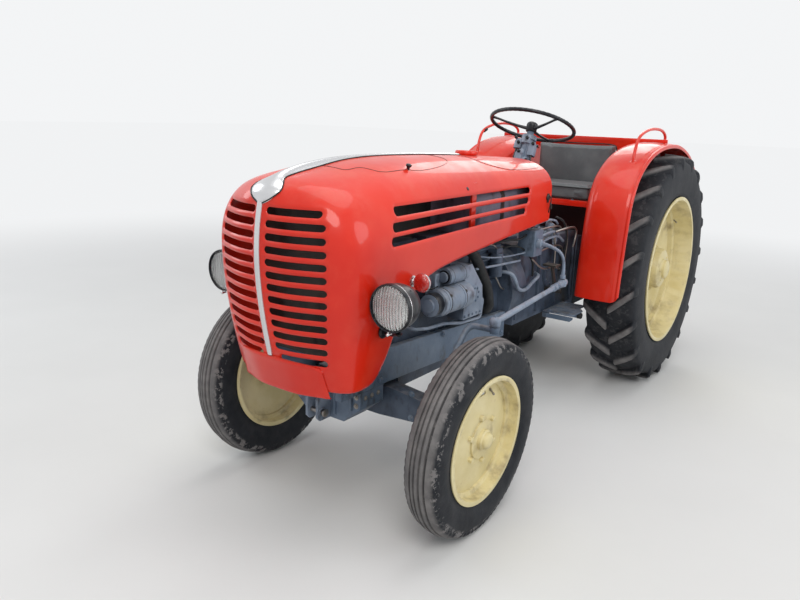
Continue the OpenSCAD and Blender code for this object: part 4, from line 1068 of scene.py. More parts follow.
def make_rear_tyre(side, word):
    """Traction tyre: smooth carcass with staggered, slanted lugs that run down the shoulder."""
    place = wheel_place(side, False)
    carcass = Shape()
    section = [(r, -h) for h, r in REAR_FLANK] + [(r, h) for h, r in REAR_FLANK[::-1]]
    carcass.ring(section, place, 144)
    lugs = Shape()
    for half, stagger in ((1, 0.72), (-1, 0.22)):
        for k in range(LUG_COUNT):
            rows = []
            for i, (h, r, h_top, r_top) in enumerate(LUG_LINE):
                share = min(h_top / 0.158, 0.96)
                a = math.radians(360 / LUG_COUNT * (k + stagger) - LUG_SWEEP * share)
                narrowing = max(i - 5, 0) / 3
                foot, crown = 0.031 - 0.006 * narrowing, 0.0195 - 0.004 * narrowing
                top_points = [(-crown, r_top, h_top), (0, r_top + 0.0006, h_top), (crown, r_top, h_top)]
                row = []
                for width, rr, hh in ((-foot, r, h), *top_points, (foot, r, h)):
                    b = a + width / rr
                    row.append((rr * math.cos(b), rr * math.sin(b), half * hh))
                rows.append(row if half > 0 else row[::-1])
            lugs.rows(rows, place, ends=True)
    body = f"rear_wheel_{word}"
    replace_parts(carcass.piece(f"rear_carcass_{word}", REAR_RUBBER, body, "tyre_rubber"), f"rear_tyre_{word}")
    lugs.piece(f"rear_lugs_{word}", REAR_RUBBER, body, "tyre_rubber", crease=34, bevel=0.0035)


# Lamps
# middle of the left headlight and of the left turn lamp
LAMP = (0.443, REAR_Y - 2.793, 1.008)
TURN_LAMP = (0.386, REAR_Y - 2.512, 1.043)
AHEAD, BEHIND, LEFT, UP = (0, -1, 0), (0, 1, 0), (1, 0, 0), (0, 0, 1)


def by_lamp(side, x, y, z):
    """Place counted from a headlight's centre, x outward."""
    return (side * (LAMP[0] + x), LAMP[1] + y, LAMP[2] + z)


def make_headlight(side, word):
    """Bowl with its rim, mirror, trim ring, bulb and glass."""
    place = facing(by_lamp(side, 0, 0, 0), AHEAD)
    bowl = Shape()
    bowl.turned(
        [(0.004, -0.128), (0.016, -0.1275), (0.030, -0.1255), (0.045, -0.1195),
         (0.058, -0.1095), (0.068, -0.096), (0.0765, -0.079), (0.0825, -0.058), (0.0858, -0.035),
         (0.0870, -0.016), (0.0890, -0.014), (0.0896, -0.009), (0.0893, -0.002), (0.0876, 0.0018),
         (0.0862, 0.0010), (0.0858, -0.006), (0.0820, -0.010), (0.0800, -0.03)],
        place, 72,
    )
    for a in (0.9, 2.2, 4.0, 5.4):
        spot = place @ Matrix.Rotation(a, 4, "Z") @ Matrix.Translation((0.0830, 0, -0.050))
        rivet = [(0.0045, -0.003), (0.0045, 0.002), (0.003, 0.0032)]
        bowl.turned(rivet, spot @ Matrix.Rotation(1.57, 4, "Y"), 12)
    bowl.ring([(0.0822, -0.005), (0.0868, -0.003), (0.0880, 0.0012), (0.0868, 0.0040),
               (0.0836, 0.0034)], place, 96)
    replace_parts(bowl.piece(f"lamp_bowl_{word}", BLACK_LACQUER, slot="black_paint", crease=48), "headlights")
    mirror = Shape()
    mirror.turned(
        [(0.0825, -0.007), (0.0790, -0.016), (0.0700, -0.036), (0.0580, -0.056),
         (0.0440, -0.073), (0.0300, -0.084), (0.0160, -0.090), (0.0100, -0.091)],
        place, 64,
    )
    mirror.piece(f"lamp_mirror_{word}", REFLECTOR, slot="bright_metal", crease=60)
    ring = Shape()
    ring.ring([(0.0868, -0.0170), (0.0889, -0.0164), (0.0893, -0.0148), (0.0886, -0.0136),
               (0.0868, -0.0136)], place, 96)
    ring.turned([(0.006, -0.004), (0.006, 0.004), (0.004, 0.006)],
                facing(by_lamp(side, 0, -0.006, -0.0955), AHEAD), 16)
    clip = [by_lamp(side, 0, y, z) for y, z in ((-0.004, -0.086), (-0.004, -0.0955), (0.014, -0.0960))]
    ring.rod(clip, 0.0035, sides=10, steps=3)
    ring.piece(f"lamp_ring_{word}", BRIGHT, slot="bright_metal", crease=50)
    bulb = Shape()
    bulb.turned([(0.010, -0.091), (0.010, -0.070), (0.013, -0.066), (0.0145, -0.056), (0.012, -0.046),
                 (0.006, -0.040), (0.001, -0.039)], place, 24)
    bulb.piece(f"lamp_bulb_{word}", NUT_STEEL, slot="bright_metal", crease=50)
    glass = Shape()
    dome = [(0.0826, -0.0060), (0.0800, -0.0030), (0.0720, 0.0012), (0.0600, 0.0048),
            (0.0450, 0.0074), (0.0300, 0.0090), (0.0150, 0.0098), (0.0005, 0.0100)]
    glass.turned(dome + [(r, h - 0.003) for r, h in dome[::-1]], place, 72)
    lens = glass.piece(f"lamp_lens_{word}", LAMP_GLASS, slot="lamp_glass", crease=60)
    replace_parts(lens, "headlight_lenses")


def make_lamp_stay(side, word):
    """Bent stay from the bowl to its flange on the nose, and the lamp's cable."""
    stay = Shape()
    foot = Vector(by_lamp(side, -0.092, 0.090, -0.125))
    bend = [(0, 0.060, -0.062), (-0.003, 0.064, -0.095), (-0.030, 0.076, -0.117)]
    stay.rod([by_lamp(side, *p) for p in bend] + [foot], 0.0105, sides=18)
    stay.turned([(0.026, -0.004), (0.027, 0.000), (0.024, 0.004), (0.013, 0.006)],
                facing(foot, (side, 0, 0)), 28)
    stay.bolt(by_lamp(side, 0, 0.060, -0.108), (0, 0, -1), 0.010)
    flange_r = 0.019
    for a in (0.8, 2.9, 5.0):
        spot = foot + Vector((side * 0.003, flange_r * math.cos(a), flange_r * math.sin(a)))
        stay.bolt(spot, (side, 0, 0), 0.0042, washer=False)
    cable = [
        (0, 0.118, 0.012), (-0.004, 0.150, -0.002), (-0.030, 0.160, -0.045), (-0.071, 0.140, -0.085),
        (-0.094, 0.115, -0.105),
    ]
    stay.rod([by_lamp(side, *p) for p in cable], 0.0034, sides=10)
    stay.piece(f"lamp_stay_{word}", BLACK_LACQUER, slot="black_paint", crease=45)


def make_turn_lamp(side, word):
    """Red lamp with a lens to the front and one to the rear, in a bright band."""
    x, y, z = TURN_LAMP
    place = facing((side * x, y, z), AHEAD)
    lens = Shape()
    dome = [
        (0.0358, 0.0015), (0.0356, 0.0070), (0.0335, 0.0125), (0.0285, 0.0170), (0.0200, 0.0198),
        (0.0100, 0.0209), (0.0008, 0.0212),
    ]
    lens.turned(dome, place, 48)
    lens.turned([(r, -h) for r, h in dome[:0:-1]] + [(0.0358, -0.0030)], place, 48)
    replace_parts(lens.piece(f"turn_lamp_lens_{word}", RED_LENS, slot="lamp_red", crease=60), "turn_lamps")
    body = Shape()
    body.ring([(0.0352, -0.0040), (0.0372, -0.0034), (0.0376, 0.0000), (0.0372, 0.0024),
               (0.0352, 0.0028)], place, 64)
    body.rod([(side * 0.352, y, z), (side * 0.344, y, z)], 0.012, sides=20, steps=2)
    flange = facing((side * 0.3435, y, z), (side, 0, 0))
    body.turned([(0.022, -0.003), (0.0225, 0.001), (0.013, 0.004)], flange, 28)
    body.piece(f"turn_lamp_body_{word}", BRIGHT, slot="bright_metal", crease=50)


# Driver's place
# the steering wheel's middle, Z along the column
COLUMN = Matrix.Translation((0, REAR_Y - 0.876, 1.629)) @ Matrix.Rotation(math.radians(-21.4), 4, "X")
WHEEL_R, GRIP_R, GRIP_RIBS = 0.2395, 0.0108, 48
# place from the hub outward, height and radius of a spoke
SPOKE = [
    (0.022, -0.0215, 0.0105), (0.070, -0.0195, 0.0085), (0.150, -0.011, 0.0068), (0.205, -0.003, 0.0068),
    (0.238, 0, 0.0090),
]


def make_steering_wheel():
    """Three-spoked wheel with a ribbed grip and a domed hub."""
    shape = Shape()
    rows = []
    for a in around(144):
        grip = GRIP_R + 0.0005 * math.cos(a * GRIP_RIBS)
        row = []
        for b in np.linspace(0, 2 * math.pi, 18, endpoint=False):
            r = WHEEL_R + grip * math.cos(b)
            row.append((r * math.cos(a), r * math.sin(a), grip * math.sin(b)))
        rows.append(row)
    shape.rows(rows, COLUMN, round_rows=True, round_columns=True)
    for turn in (90, 210, 330):
        place = COLUMN @ Matrix.Rotation(math.radians(turn), 4, "Z")
        shape.rod([(x, 0, z) for x, z, _ in SPOKE], [r for _, _, r in SPOKE], place=place)
    shape.turned(
        [(0.026, -0.040), (0.0305, -0.036), (0.0310, -0.012), (0.0330, -0.006), (0.0325, 0.004),
         (0.0290, 0.011), (0.0220, 0.0165), (0.0130, 0.0200), (0.0040, 0.0215), (0.0005, 0.0218)],
        COLUMN, 48,
    )
    wheel = shape.piece("driver_wheel", BLACK_LACQUER, "steering_wheel", "black_plastic", crease=50)
    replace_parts(wheel, "steering_wheel")


def settled_mesh(thing):
    """The object's mesh with its modifiers applied."""
    graph = bpy.context.evaluated_depsgraph_get()
    return bpy.data.meshes.new_from_object(thing.evaluated_get(graph))


def padding_block(name, low, high):
    """Round-edged block a little smaller than its place, as an even net of small faces."""
    inset, edge_r, net = 0.003, 0.014, 0.006
    build = bmesh.new()
    bmesh.ops.create_cube(build, size=1)
    size = high - low - Vector((2 * inset,) * 3)
    for v in build.verts:
        v.co = (low + high) / 2 + Vector((v.co.x * size.x, v.co.y * size.y, v.co.z * size.z))
    bmesh.ops.bevel(build, geom=build.edges[:], offset=edge_r, segments=4, profile=0.6, affect="EDGES")
    mesh = bpy.data.meshes.new(name)
    build.to_mesh(mesh)
    build.free()
    pad = bpy.data.objects.new(name, mesh)
    bpy.context.scene.collection.objects.link(pad)
    remesh = pad.modifiers.new("remesh", "REMESH")
    remesh.mode = "VOXEL"
    remesh.voxel_size = net
    pad.data = settled_mesh(pad)
    pad.modifiers.clear()
    return pad


def blow_up(pad, frames=20):
    """Blows the pad up as weightless cloth and keeps the shape that it takes."""
    cloth = pad.modifiers.new("cloth", "CLOTH")
    cloth.settings.use_pressure = True
    cloth.settings.uniform_pressure_force = 4.0
    cloth.settings.effector_weights.gravity = 0
    cloth.settings.quality = 5
    cloth.settings.tension_stiffness = 22
    cloth.settings.compression_stiffness = 22
    cloth.settings.bending_stiffness = 1.2
    cloth.point_cache.frame_end = frames
    for number in range(1, frames + 1):
        bpy.context.scene.frame_set(number)
    blown = settled_mesh(pad)
    pad.modifiers.clear()
    pad.data = blown
    bpy.context.scene.frame_set(1)


def soft_pad(name, low, high, bulge, replaced):
    """Stuffed pad that swells by bulge at most and lies flat on the deck."""
    low, high = Vector(low), Vector(high)
    pad = padding_block(name, low, high)
    start = np.array([v.co for v in pad.data.vertices])
    blow_up(pad)
    shift = np.array([v.co for v in pad.data.vertices]) - start
    far = np.linalg.norm(shift, axis=1)
    shift *= np.minimum(1, bulge / np.maximum(far, 1e-9))[:, None]
    now = np.clip(start + shift, np.array(low) - 0.004, np.array(high) + 0.006)
    now[:, 2] = np.maximum(now[:, 2], PAD_FOOT)
    pad.data.vertices.foreach_set("co", now.ravel())
    pad.data.materials.clear()
    pad.data.materials.append(LEATHERCLOTH)
    pad.data.polygons.foreach_set("use_smooth", [True] * len(pad.data.polygons))
    pad.modifiers.new("rounding", "SUBSURF").levels = 1
    pad.modifiers["rounding"].render_levels = 1
    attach(pad, "chassis")
    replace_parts(pad, replaced)


DECK_TOP, PAD_FOOT, PAD_FILL = 1.1925, 1.1926, 0.8
CUSHION = ((-0.260, REAR_Y - 0.575, DECK_TOP), (0.260, REAR_Y - 0.236, 1.279))
BACK_REST = ((-0.262, REAR_Y - 0.235, DECK_TOP), (0.266, REAR_Y - 0.160, 1.526))


def make_seat():
    """The two pads with piping along their edges."""
    soft_pad("seat_pad", *CUSHION, 0.014, "seat_cushion")
    soft_pad("back_pad", *BACK_REST, 0.012, "seat_back")
    piping = Shape()
    rear = -0.240
    for front, z in ((-0.571, 1.268), (-0.572, 1.206)):
        half = [
            (0.258, rear), (0.259, (front + rear) / 2), (0.258, front + 0.030), (0.250, front + 0.008),
            (0.226, front),
        ]
        edge = [(-x, y) for x, y in half] + [(0, front - 0.0025)] + half[::-1]
        piping.rod(from_axle((x, y, z) for x, y in edge), 0.0042, sides=10)
    edge = [(-0.257, 1.200), (-0.2575, 1.35), (-0.257, 1.488), (-0.250, 1.511), (-0.228, 1.520),
            (0, 1.522), (0.230, 1.520), (0.252, 1.511), (0.2595, 1.488), (0.2605, 1.35), (0.259, 1.200)]
    piping.rod([(x, REAR_Y - 0.176, z) for x, z in edge], 0.0036, sides=10)
    piping.piece("seat_piping", BLACK_RUBBER, slot="seat_cover", crease=60)


def make_dials():
    """Three round instruments facing the driver, each with bezel, face, marks and needle."""
    bezels, faces, marks = Shape(), Shape(), Shape()
    for x, needle in ((-0.110, 0.7), (0.0, -0.5), (0.110, 1.6)):
        place = facing((x, BACK_Y + 0.0045, 1.330), BEHIND)
        bezels.ring([(0.0355, 0.000), (0.0395, 0.000), (0.0400, 0.0035), (0.0385, 0.0052),
                     (0.0362, 0.0046)], place, 48)
        faces.turned([(0.0362, 0.0002), (0.0362, 0.0012), (0.0300, 0.0013), (0.001, 0.0013)], place, 40)
        for k in range(11):
            a = math.radians(210 - 24 * k)
            spot = place @ Matrix.Rotation(a, 4, "Z")
            long = 0.006 if k % 5 == 0 else 0.0035
            marks.plate([(0.0325 - long, -0.0006), (0.0325, -0.0006), (0.0325, 0.0006),
                         (0.0325 - long, 0.0006)], 0.0004,
                        spot @ Matrix.Translation((0, 0, 0.0013)))
        spot = place @ Matrix.Rotation(needle, 4, "Z") @ Matrix.Translation((0, 0, 0.0019))
        marks.plate([(-0.006, -0.0012), (0.026, -0.0004), (0.026, 0.0004), (-0.006, 0.0012)], 0.0005, spot)
        marks.turned([(0.0030, 0), (0.0030, 0.0012), (0.0018, 0.0020)], spot, 16)
    bezels.piece("dial_bezels", BRIGHT, slot="bright_metal", crease=50)
    faces.piece("dial_faces", BLACK_LACQUER, slot="black_paint", crease=50)
    marks.piece("dial_marks", DIAL_WHITE, slot="lamp_glass", crease=30)


# Engine's fittings
def make_hose():
    """Rubber air hose from the cleaner down to the engine, with a clamp at each end."""
    hose, clamps = Shape(), Shape()
    path = [(0.1305, -1.850, 1.064), (0.160, -1.850, 1.064), (0.192, -1.838, 1.054), (0.206, -1.805, 1.020),
            (0.208, -1.775, 0.985), (0.207, -1.732, 0.932), (0.206, -1.690, 0.880), (0.205, -1.662, 0.835),
            (0.204, -1.640, 0.780), (0.202, -1.632, 0.745), (0.190, -1.632, 0.7225), (0.168, -1.632, 0.7200),
            (0.1505, -1.632, 0.7200)]
    path = from_axle(path)
    hose.rod(path, 0.0258, sides=32, steps=8)
    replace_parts(hose.piece("rubber_hose", BLACK_RUBBER, slot="hose_rubber", crease=50), "intake_hose")
    for spot in (path[1], path[-2]):
        place = facing(spot, LEFT)
        clamps.ring([(0.0262, -0.006), (0.0272, -0.0062), (0.0272, 0.0062), (0.0262, 0.006)], place, 40)
        clamps.bolt(place @ Vector((0.0272, 0, 0)), UP, 0.005, height=0.006)
    clamps.piece("hose_clamps", NUT_STEEL, slot="bright_metal")


def bolt_circle(count, radius, x, y, z, start=0.0):
    """Places round a point, in the plane square to X."""
    return [(x, y + radius * math.cos(a), z + radius * math.sin(a)) for a in around(count, start)]


def add_head_nuts(bare):
    """Nuts on top of each cylinder head and bolts in its side."""
    for front, rear in HEADS:
        rows = (front + 0.022, (front + rear) / 2, rear - 0.022)
        bare.bolts(from_axle((x, y, 1.105) for y in rows for x in (-0.098, 0.106)), UP, 0.0095)
        rows = (front + 0.042, rear - 0.042)
        bare.bolts(from_axle((0.146, y, z) for y in rows for z in (0.886, 0.982)), LEFT, 0.0055)


def add_engine_bolts(painted):
    """Along the crankcase and its sump, and on the generator's plate."""
    rows = [-2.385 + k * 0.071 for k in range(14)]
    behind_generator = [-2.15 < y < -1.75 for y in rows]
    case = [(0.1502, y, 0.700 if hidden else 0.840) for y, hidden in zip(rows, behind_generator)]
    painted.bolts(from_axle(case), LEFT, 0.0078)
    painted.bolts(from_axle((0.1402, min(max(y, -2.295), -1.495), 0.566) for y in rows), LEFT, 0.0065)
    painted.bolts(bolt_circle(8, 0.032, 0.246, REAR_Y - 1.850, 0.850, start=0.2), LEFT, 0.0048)
    painted.bolts(from_axle((0.238, -1.925 + k * 0.036, 0.752) for k in range(5)), LEFT, 0.0052)


# y from the rear axle and height of the bolts through a side rail
RAIL_BOLTS = [
    (-2.735, 0.705), (-2.735, 0.610), (-2.640, 0.690), (-2.610, 0.600), (-2.520, 0.600), (-1.480, 0.645),
    (-1.480, 0.565), (-1.560, 0.640), (-2.050, 0.690),
]


def make_fasteners():
    """Nuts and bolts that hold the castings, rails, axle and driver's floor."""
    painted, bare = Shape(), Shape()
    add_head_nuts(bare)
    add_engine_bolts(painted)
    for side, _ in SIDES:
        outward = (side, 0, 0)
        painted.bolts(from_axle((side * 0.200, y, z) for y, z in RAIL_BOLTS), outward, 0.0125)
        painted.bolts(bolt_circle(10, 0.112, side * 0.210, REAR_Y, REAR_Z), outward, 0.010)
        steps = [(side * x, y, 0.558) for y in (-0.875, -0.620) for x in (0.20, 0.33)]
        painted.bolts(from_axle(steps), UP, 0.008)
        painted.bolts([(side * 0.300, FRONT_Y - 0.040, z) for z in (0.535, 0.425)], AHEAD, 0.011)
        bare.bolt((side * 0.410, FRONT_Y, 0.563), UP, 0.013)
    deck = [(x, y, 1.192) for y in (-0.58, -0.08) for x in (-0.16, 0.16)]
    painted.bolts(from_axle(deck), UP, 0.007)
    painted.piece("painted_bolts", BLUE_GREY, slot="blue_grey_paint", crease=30)
    bare.piece("bare_nuts", NUT_STEEL, slot="bright_metal", crease=30)


def make_fuel_lines():
    """Pipes from the pump to each head and back, and the bent pipe by the driver's floor."""
    pipes = Shape()
    for front, rear in HEADS:
        y = (front + rear) / 2
        path = [
            (0.190, -1.557, 1.024), (0.190, -1.60, 1.048), (0.176, (y - 1.6) / 2, 1.056),
            (0.160, y + 0.03, 1.060), (0.1305, y, 1.072),
        ]
        pipes.rod(from_axle(path), 0.0034, sides=10)
        pipes.bolt((0.130, REAR_Y + y, 1.072), LEFT, 0.008)
    feed = [
        (0.182, -1.545, 0.880), (0.184, -1.520, 0.850), (0.186, -1.470, 0.800), (0.178, -1.40, 0.790),
        (0.170, -1.300, 0.800),
    ]
    pipes.rod(from_axle(feed), 0.004, sides=10)
    bent = [
        (0.235, -0.960, 1.050), (0.262, -0.900, 1.062), (0.270, -0.868, 1.065), (0.270, -0.765, 1.054),
        (0.271, -0.742, 1.030), (0.270, -0.750, 0.975), (0.262, -0.752, 0.939),
    ]
    pipes.rod(from_axle(bent), 0.0062, sides=12)
    pipes.piece("fuel_lines", NUT_STEEL, slot="bright_metal", crease=45)


def dress_generator():
    """Bands and end plates of the generator and of the smaller housing over it."""

    def on_generator(y):
        return facing((0.232, REAR_Y + y, 0.866), BEHIND)

    def on_housing(y):
        return facing((0.215, REAR_Y + y, 0.968), BEHIND)

    bands, ends = Shape(), Shape()
    for y in (-2.128, -2.002):
        band = [(0.0622, -0.0022), (0.0634, -0.0016), (0.0634, 0.0016), (0.0622, 0.0022)]
        bands.ring(band, on_generator(y), 56)
        bands.bolt((0.284, REAR_Y + y, 0.902), (0.6, 0, 0.8), 0.006)
    for y in (-2.055, -1.955):
        band = [(0.0396, -0.0014), (0.0406, -0.001), (0.0406, 0.001), (0.0396, 0.0014)]
        bands.ring(band, on_housing(y), 44)
    bands.piece("generator_bands", SOOT_BLACK, slot="black_paint")
    front = on_generator(-2.1715)
    ends.turned([(0.050, -0.0490), (0.0515, -0.0475), (0.0515, -0.004), (0.0500, -0.002)], front, 48)
    ends.turned([(0.018, -0.054), (0.019, -0.052), (0.019, -0.046)], front, 32)
    ends.turned([(0.030, -0.006), (0.031, -0.005), (0.031, 0.004)], on_housing(-2.083), 32)
    ends.piece("generator_ends", BLACK_LACQUER, slot="black_paint")


def make_under_bonnet():
    """Straps round the tank, posts that carry the bonnet, and a black channel on the middle line that paints
    the shade inside the bonnet behind the louvres.
    """
    straps, posts, shade_sheet = Shape(), Shape(), Shape()
    half = [(0.216, 1.131), (0.2295, 1.157), (0.2295, 1.302), (0.206, 1.3385), (0.1505, 1.3605)]
    outline = half + [(-x, z) for x, z in half[::-1]]
    strap_width = 0.034
    for y in (-1.620, -1.330):
        straps.rows([from_axle((x, edge, z) for x, z in outline) for edge in (y, y + strap_width)])
    straps.piece("tank_straps", SOOT_BLACK, slot="black_paint", thick=-0.002, crease=30)
    post = [(-1.972, 1.150), (-1.932, 1.150), (-1.932, 1.385), (-1.972, 1.385)]
    for side, _ in SIDES:
        posts.add(
            from_axle((side * x, y, z) for x in (0.2595, 0.2715) for y, z in post),
            [(0, 1, 2, 3), (7, 6, 5, 4), (0, 4, 5, 1), (1, 5, 6, 2), (2, 6, 7, 3), (3, 7, 4, 0)],
        )
    posts.piece("bonnet_posts", RED, slot="red_paint", bevel=0.003, crease=30)
    # painted shade: this black channel stands where there is only shade inside the bonnet, darkening what
    # shows through the louvres
    section = [(0.030, 1.112), (0.004, 1.112), (0.000, 1.120), (0.000, 1.338), (0.004, 1.346), (0.030, 1.346)]
    shade_sheet.rows([from_axle((x, y, z) for y in (-2.610, -2.400, -2.150, -1.895)) for x, z in section])
    shade_sheet.piece("middle_shade_sheet", SOOT_BLACK, slot="black_paint", thick=0.002, crease=30)


# turn about the column, reach from it, place along it
SWITCH_STALKS = [(0.6, 0.058, -0.110), (2.5, 0.062, -0.135), (4.2, 0.055, -0.170), (5.4, 0.050, -0.215)]
# place across and along the column, width, height, depth
SWITCH_BOXES = [
    (-0.050, -0.118, 0.046, 0.056, 0.050), (0.040, -0.150, 0.040, 0.070, 0.046),
    (0.000, -0.100, 0.050, 0.036, 0.088), (-0.028, -0.190, 0.050, 0.044, 0.056),
]
SWITCH_KNOBS = [
    (-0.062, -0.034, -0.090), (-0.040, -0.036, -0.118), (0.052, -0.034, -0.122), (0.018, -0.055, -0.096),
]
COLUMN_CABLES = [
    [(-0.055, -0.02, -0.145), (-0.060, -0.015, -0.230), (-0.030, 0.0, -0.340), (-0.020, 0.010, -0.470)],
    [(0.045, -0.02, -0.185), (0.052, -0.016, -0.260), (0.028, 0.0, -0.360), (0.018, 0.012, -0.480)],
]


def rounded_box_outline(width, depth):
    """Outline half way between an ellipse and its box."""
    outline = []
    for a in np.linspace(0, 2 * math.pi, 28, endpoint=False):
        x, y = math.cos(a), math.sin(a)
        outline.append((width / 2 * math.copysign(abs(x) ** 0.5, x),
                        depth / 2 * math.copysign(abs(y) ** 0.5, y)))
    return outline


def make_column_switches():
    """Switch boxes, stalks, knobs and cables on the column under the steering wheel."""
    box, bits = Shape(), Shape()
    for r, low, high in ((0.034, -0.300, -0.064), (0.043, -0.092, -0.064)):
        box.turned([(r * 0.9, low), (r, low + 0.003), (r, high - 0.004), (r * 0.86, high)], COLUMN, 40)
    for turn, reach, z in SWITCH_STALKS:
        place = COLUMN @ Matrix.Rotation(turn, 4, "Z") @ Matrix.Translation((0, 0, z))
        place = place @ Matrix.Rotation(math.pi / 2, 4, "Y")
        box.turned([(0.020, 0.010), (0.021, reach * 0.62), (0.017, reach * 0.72),
                    (0.010, reach * 0.78)], place, 28)
        bits.turned([(0.008, reach * 0.74), (0.0085, reach), (0.006, reach + 0.004)], place, 20)
        along = place.to_3x3() @ Vector(UP)
        bits.bolt(place @ Vector((0.014, 0, reach * 0.66)), along, 0.0035, washer=False)
    for x, z, w, h, d in SWITCH_BOXES:
        for scale, y, low, high in ((1.0, -0.010, -0.5, 0.30), (0.88, -0.012, 0.30, 0.50)):
            place = COLUMN @ Matrix.Translation((x, y, z + h * low))
            box.plate(rounded_box_outline(scale * w, scale * d), h * (high - low), place)
    for spot in SWITCH_KNOBS:
        place = COLUMN @ Matrix.Translation(spot) @ Matrix.Rotation(math.radians(80), 4, "X")
        bits.turned([(0.0085, 0.0), (0.0090, 0.012), (0.0065, 0.0145)], place, 20)
    for cable in COLUMN_CABLES:
        bits.rod(cable, 0.0055, sides=12, place=COLUMN)
    box.piece("switch_box", LIT_BLUE, slot="blue_grey_paint", crease=38)
    bits.piece("switch_knobs", BLACK_LACQUER, slot="black_paint", crease=38)


def make_catches():
    """Spring catch that holds the bonnet's rear corner, one on each side."""
    catch = Shape()
    y, z = REAR_Y - 1.185, 1.261
    for side, _ in SIDES:
        x = side * 0.2755
        outward = (side, 0, 0)
        base = [(-0.011, -0.024), (0.011, -0.024), (0.011, 0.024), (-0.011, 0.024)]
        catch.plate(base, 0.003, facing((x - side * 0.0008, y, z), outward))
        catch.rod([(x + side * 0.006, y - 0.004, z + 0.016), (x + side * 0.016, y, z + 0.004),
                   (x + side * 0.012, y + 0.010, z - 0.030), (x + side * 0.004, y + 0.018, z - 0.062),
                   (x - side * 0.006, y + 0.034, z - 0.082)], 0.0032, sides=10)
        catch.bolt((x + side * 0.002, y, z + 0.016), outward, 0.006)
        boss = [(0.016, -0.001), (0.0165, 0.004), (0.0140, 0.0075), (0.006, 0.0085)]
        catch.turned(boss, facing((x, y - 0.004, z + 0.002), outward), 28)
        for k in range(7):
            coil = (x + side * 0.011, y + 0.010 + 0.002 * k, z - 0.026 - 0.0052 * k)
            catch.ring([(0.0052, -0.0009), (0.0066, 0), (0.0052, 0.0009)], facing(coil, (0, 0.36, -1)), 16)
    catch.piece("bonnet_catches", SOOT_BLACK, slot="black_paint")


# Links, rods, steps and hubs
def make_drag_link():
    """Bar of the drag link with a ball socket at each end and two clamps."""
    front = Vector((0.563, FRONT_Y + 0.160, 0.858))
    rear = Vector((0.420, REAR_Y - 1.236, 0.827))
    along = (rear - front).normalized()
    link = Shape()
    link.rod([front + along * 0.020, front + along * 0.080, front + along * 0.110, rear - along * 0.190,
              rear - along * 0.160,
              rear - along * 0.060, rear - along * 0.050, rear + along * 0.046],
             [0.0105, 0.0115, 0.0128, 0.0135, 0.0155, 0.0160, 0.0185, 0.0185], sides=24)
    for end, low in ((front, -0.017), (rear, -0.017)):
        link.turned([(0.012, low - 0.003), (0.020, low), (0.0235, low + 0.008), (0.0240, 0.004),
                     (0.0225, 0.012), (0.0170, 0.0185), (0.0080, 0.0210), (0.0005, 0.0212)],
                    Matrix.Translation(end), 36)
    for far in (0.105, 0.165):
        link.ring([(0.0150, -0.006), (0.0190, -0.005), (0.0190, 0.005), (0.0150, 0.006)],
                  facing(rear - along * far, along), 28)
        link.bolt(rear - along * far + Vector((0.017, 0, 0.006)), (1, 0, 0.2), 0.006)
    link.bolt(rear + along * 0.046, along, 0.013)
    link.turned([(0.0020, 0.0190), (0.0022, 0.0270), (0.0035, 0.0285), (0.0030, 0.0310)],
                Matrix.Translation(front), 10)
    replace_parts(link.piece("drag_link_bar", LIT_BLUE, "drag_link", "blue_grey_paint",
                           crease=42), "drag_link")


def make_drop_arm():
    """Bent arm that swings the drag link, with its boss and ball."""
    arm = Shape()
    x, y, z = 0.276, REAR_Y - 1.236, 1.0205
    path = [
        (x, y, z), (0.318, y - 0.004, 1.018), (0.362, y - 0.002, 1.006), (0.398, y, 0.985), (0.416, y, 0.950),
        (0.4205, y, 0.905), (0.420, y, 0.862),
    ]
    arm.rod(path, [0.0125, 0.0105, 0.0090, 0.0085, 0.0085, 0.0090, 0.0120], sides=20)
    boss = [(0.020, -0.014), (0.0255, -0.012), (0.0260, 0.0), (0.0255, 0.012), (0.018, 0.014)]
    arm.turned(boss, facing((x, y, z), LEFT), 32)
    arm.bolt((x + 0.014, y, z), LEFT, 0.014)
    ball_cup = [(0.0130, 0.0), (0.0150, 0.002), (0.0150, 0.018), (0.0110, 0.0195)]
    arm.turned(ball_cup, Matrix.Translation((0.420, y, 0.8515)), 28)
    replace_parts(arm.piece("drop_arm_bar", LIT_BLUE, "drop_arm", "blue_grey_paint", crease=42), "drop_arm")


# Rods between the engine and the driver's floor: radius in metres, then points in millimetres
# with y from the rear axle
PALE_RODS = [
    (0.0095, [(186, -1478, 892), (236, -1466, 884), (249, -1440, 845), (252, -1412, 802), (251, -1360, 782),
              (248, -1310, 778), (230, -1190, 796), (212, -1090, 812), (176, -1060, 816)]),
    (0.0060, [(214, -1810, 960), (216, -1600, 948), (216, -1400, 938), (204, -1320, 930), (160, -1268, 920)]),
    (0.0042, [(170, -1700, 1000), (205, -1640, 992), (210, -1460, 975), (210, -1270, 968)]),
    (0.0070, [(188, -1190, 1010), (222, -1120, 1040), (232, -1030, 1052),
              (226, -930, 1046), (212, -860, 1020)]),
    (0.0062, [(176, -1120, 1095), (205, -1010, 1118), (214, -930, 1108), (202, -860, 1080)]),
    (0.0080, [(170, -1050, 980), (206, -940, 1012), (214, -860, 1008), (214, -790, 972)]),
]
BARE_RODS = [
    (0.0045, [(184, -1210, 1062), (214, -1120, 1076), (232, -1010, 1082),
              (228, -900, 1074), (206, -800, 1040)]),
    (0.0050, [(186, -1150, 930), (208, -1040, 952), (214, -900, 960), (206, -780, 930), (196, -720, 860)]),
    (0.0055, [(180, -980, 1120), (196, -930, 1090), (206, -900, 1010), (208, -880, 930), (206, -872, 800)]),
    (0.0045, [(176, -800, 1110), (214, -776, 1070), (226, -760, 1000), (222, -752, 900), (206, -740, 780)]),
    (0.0048, [(230, -1230, 930), (236, -1100, 858), (232, -950, 842), (222, -830, 812)]),
]
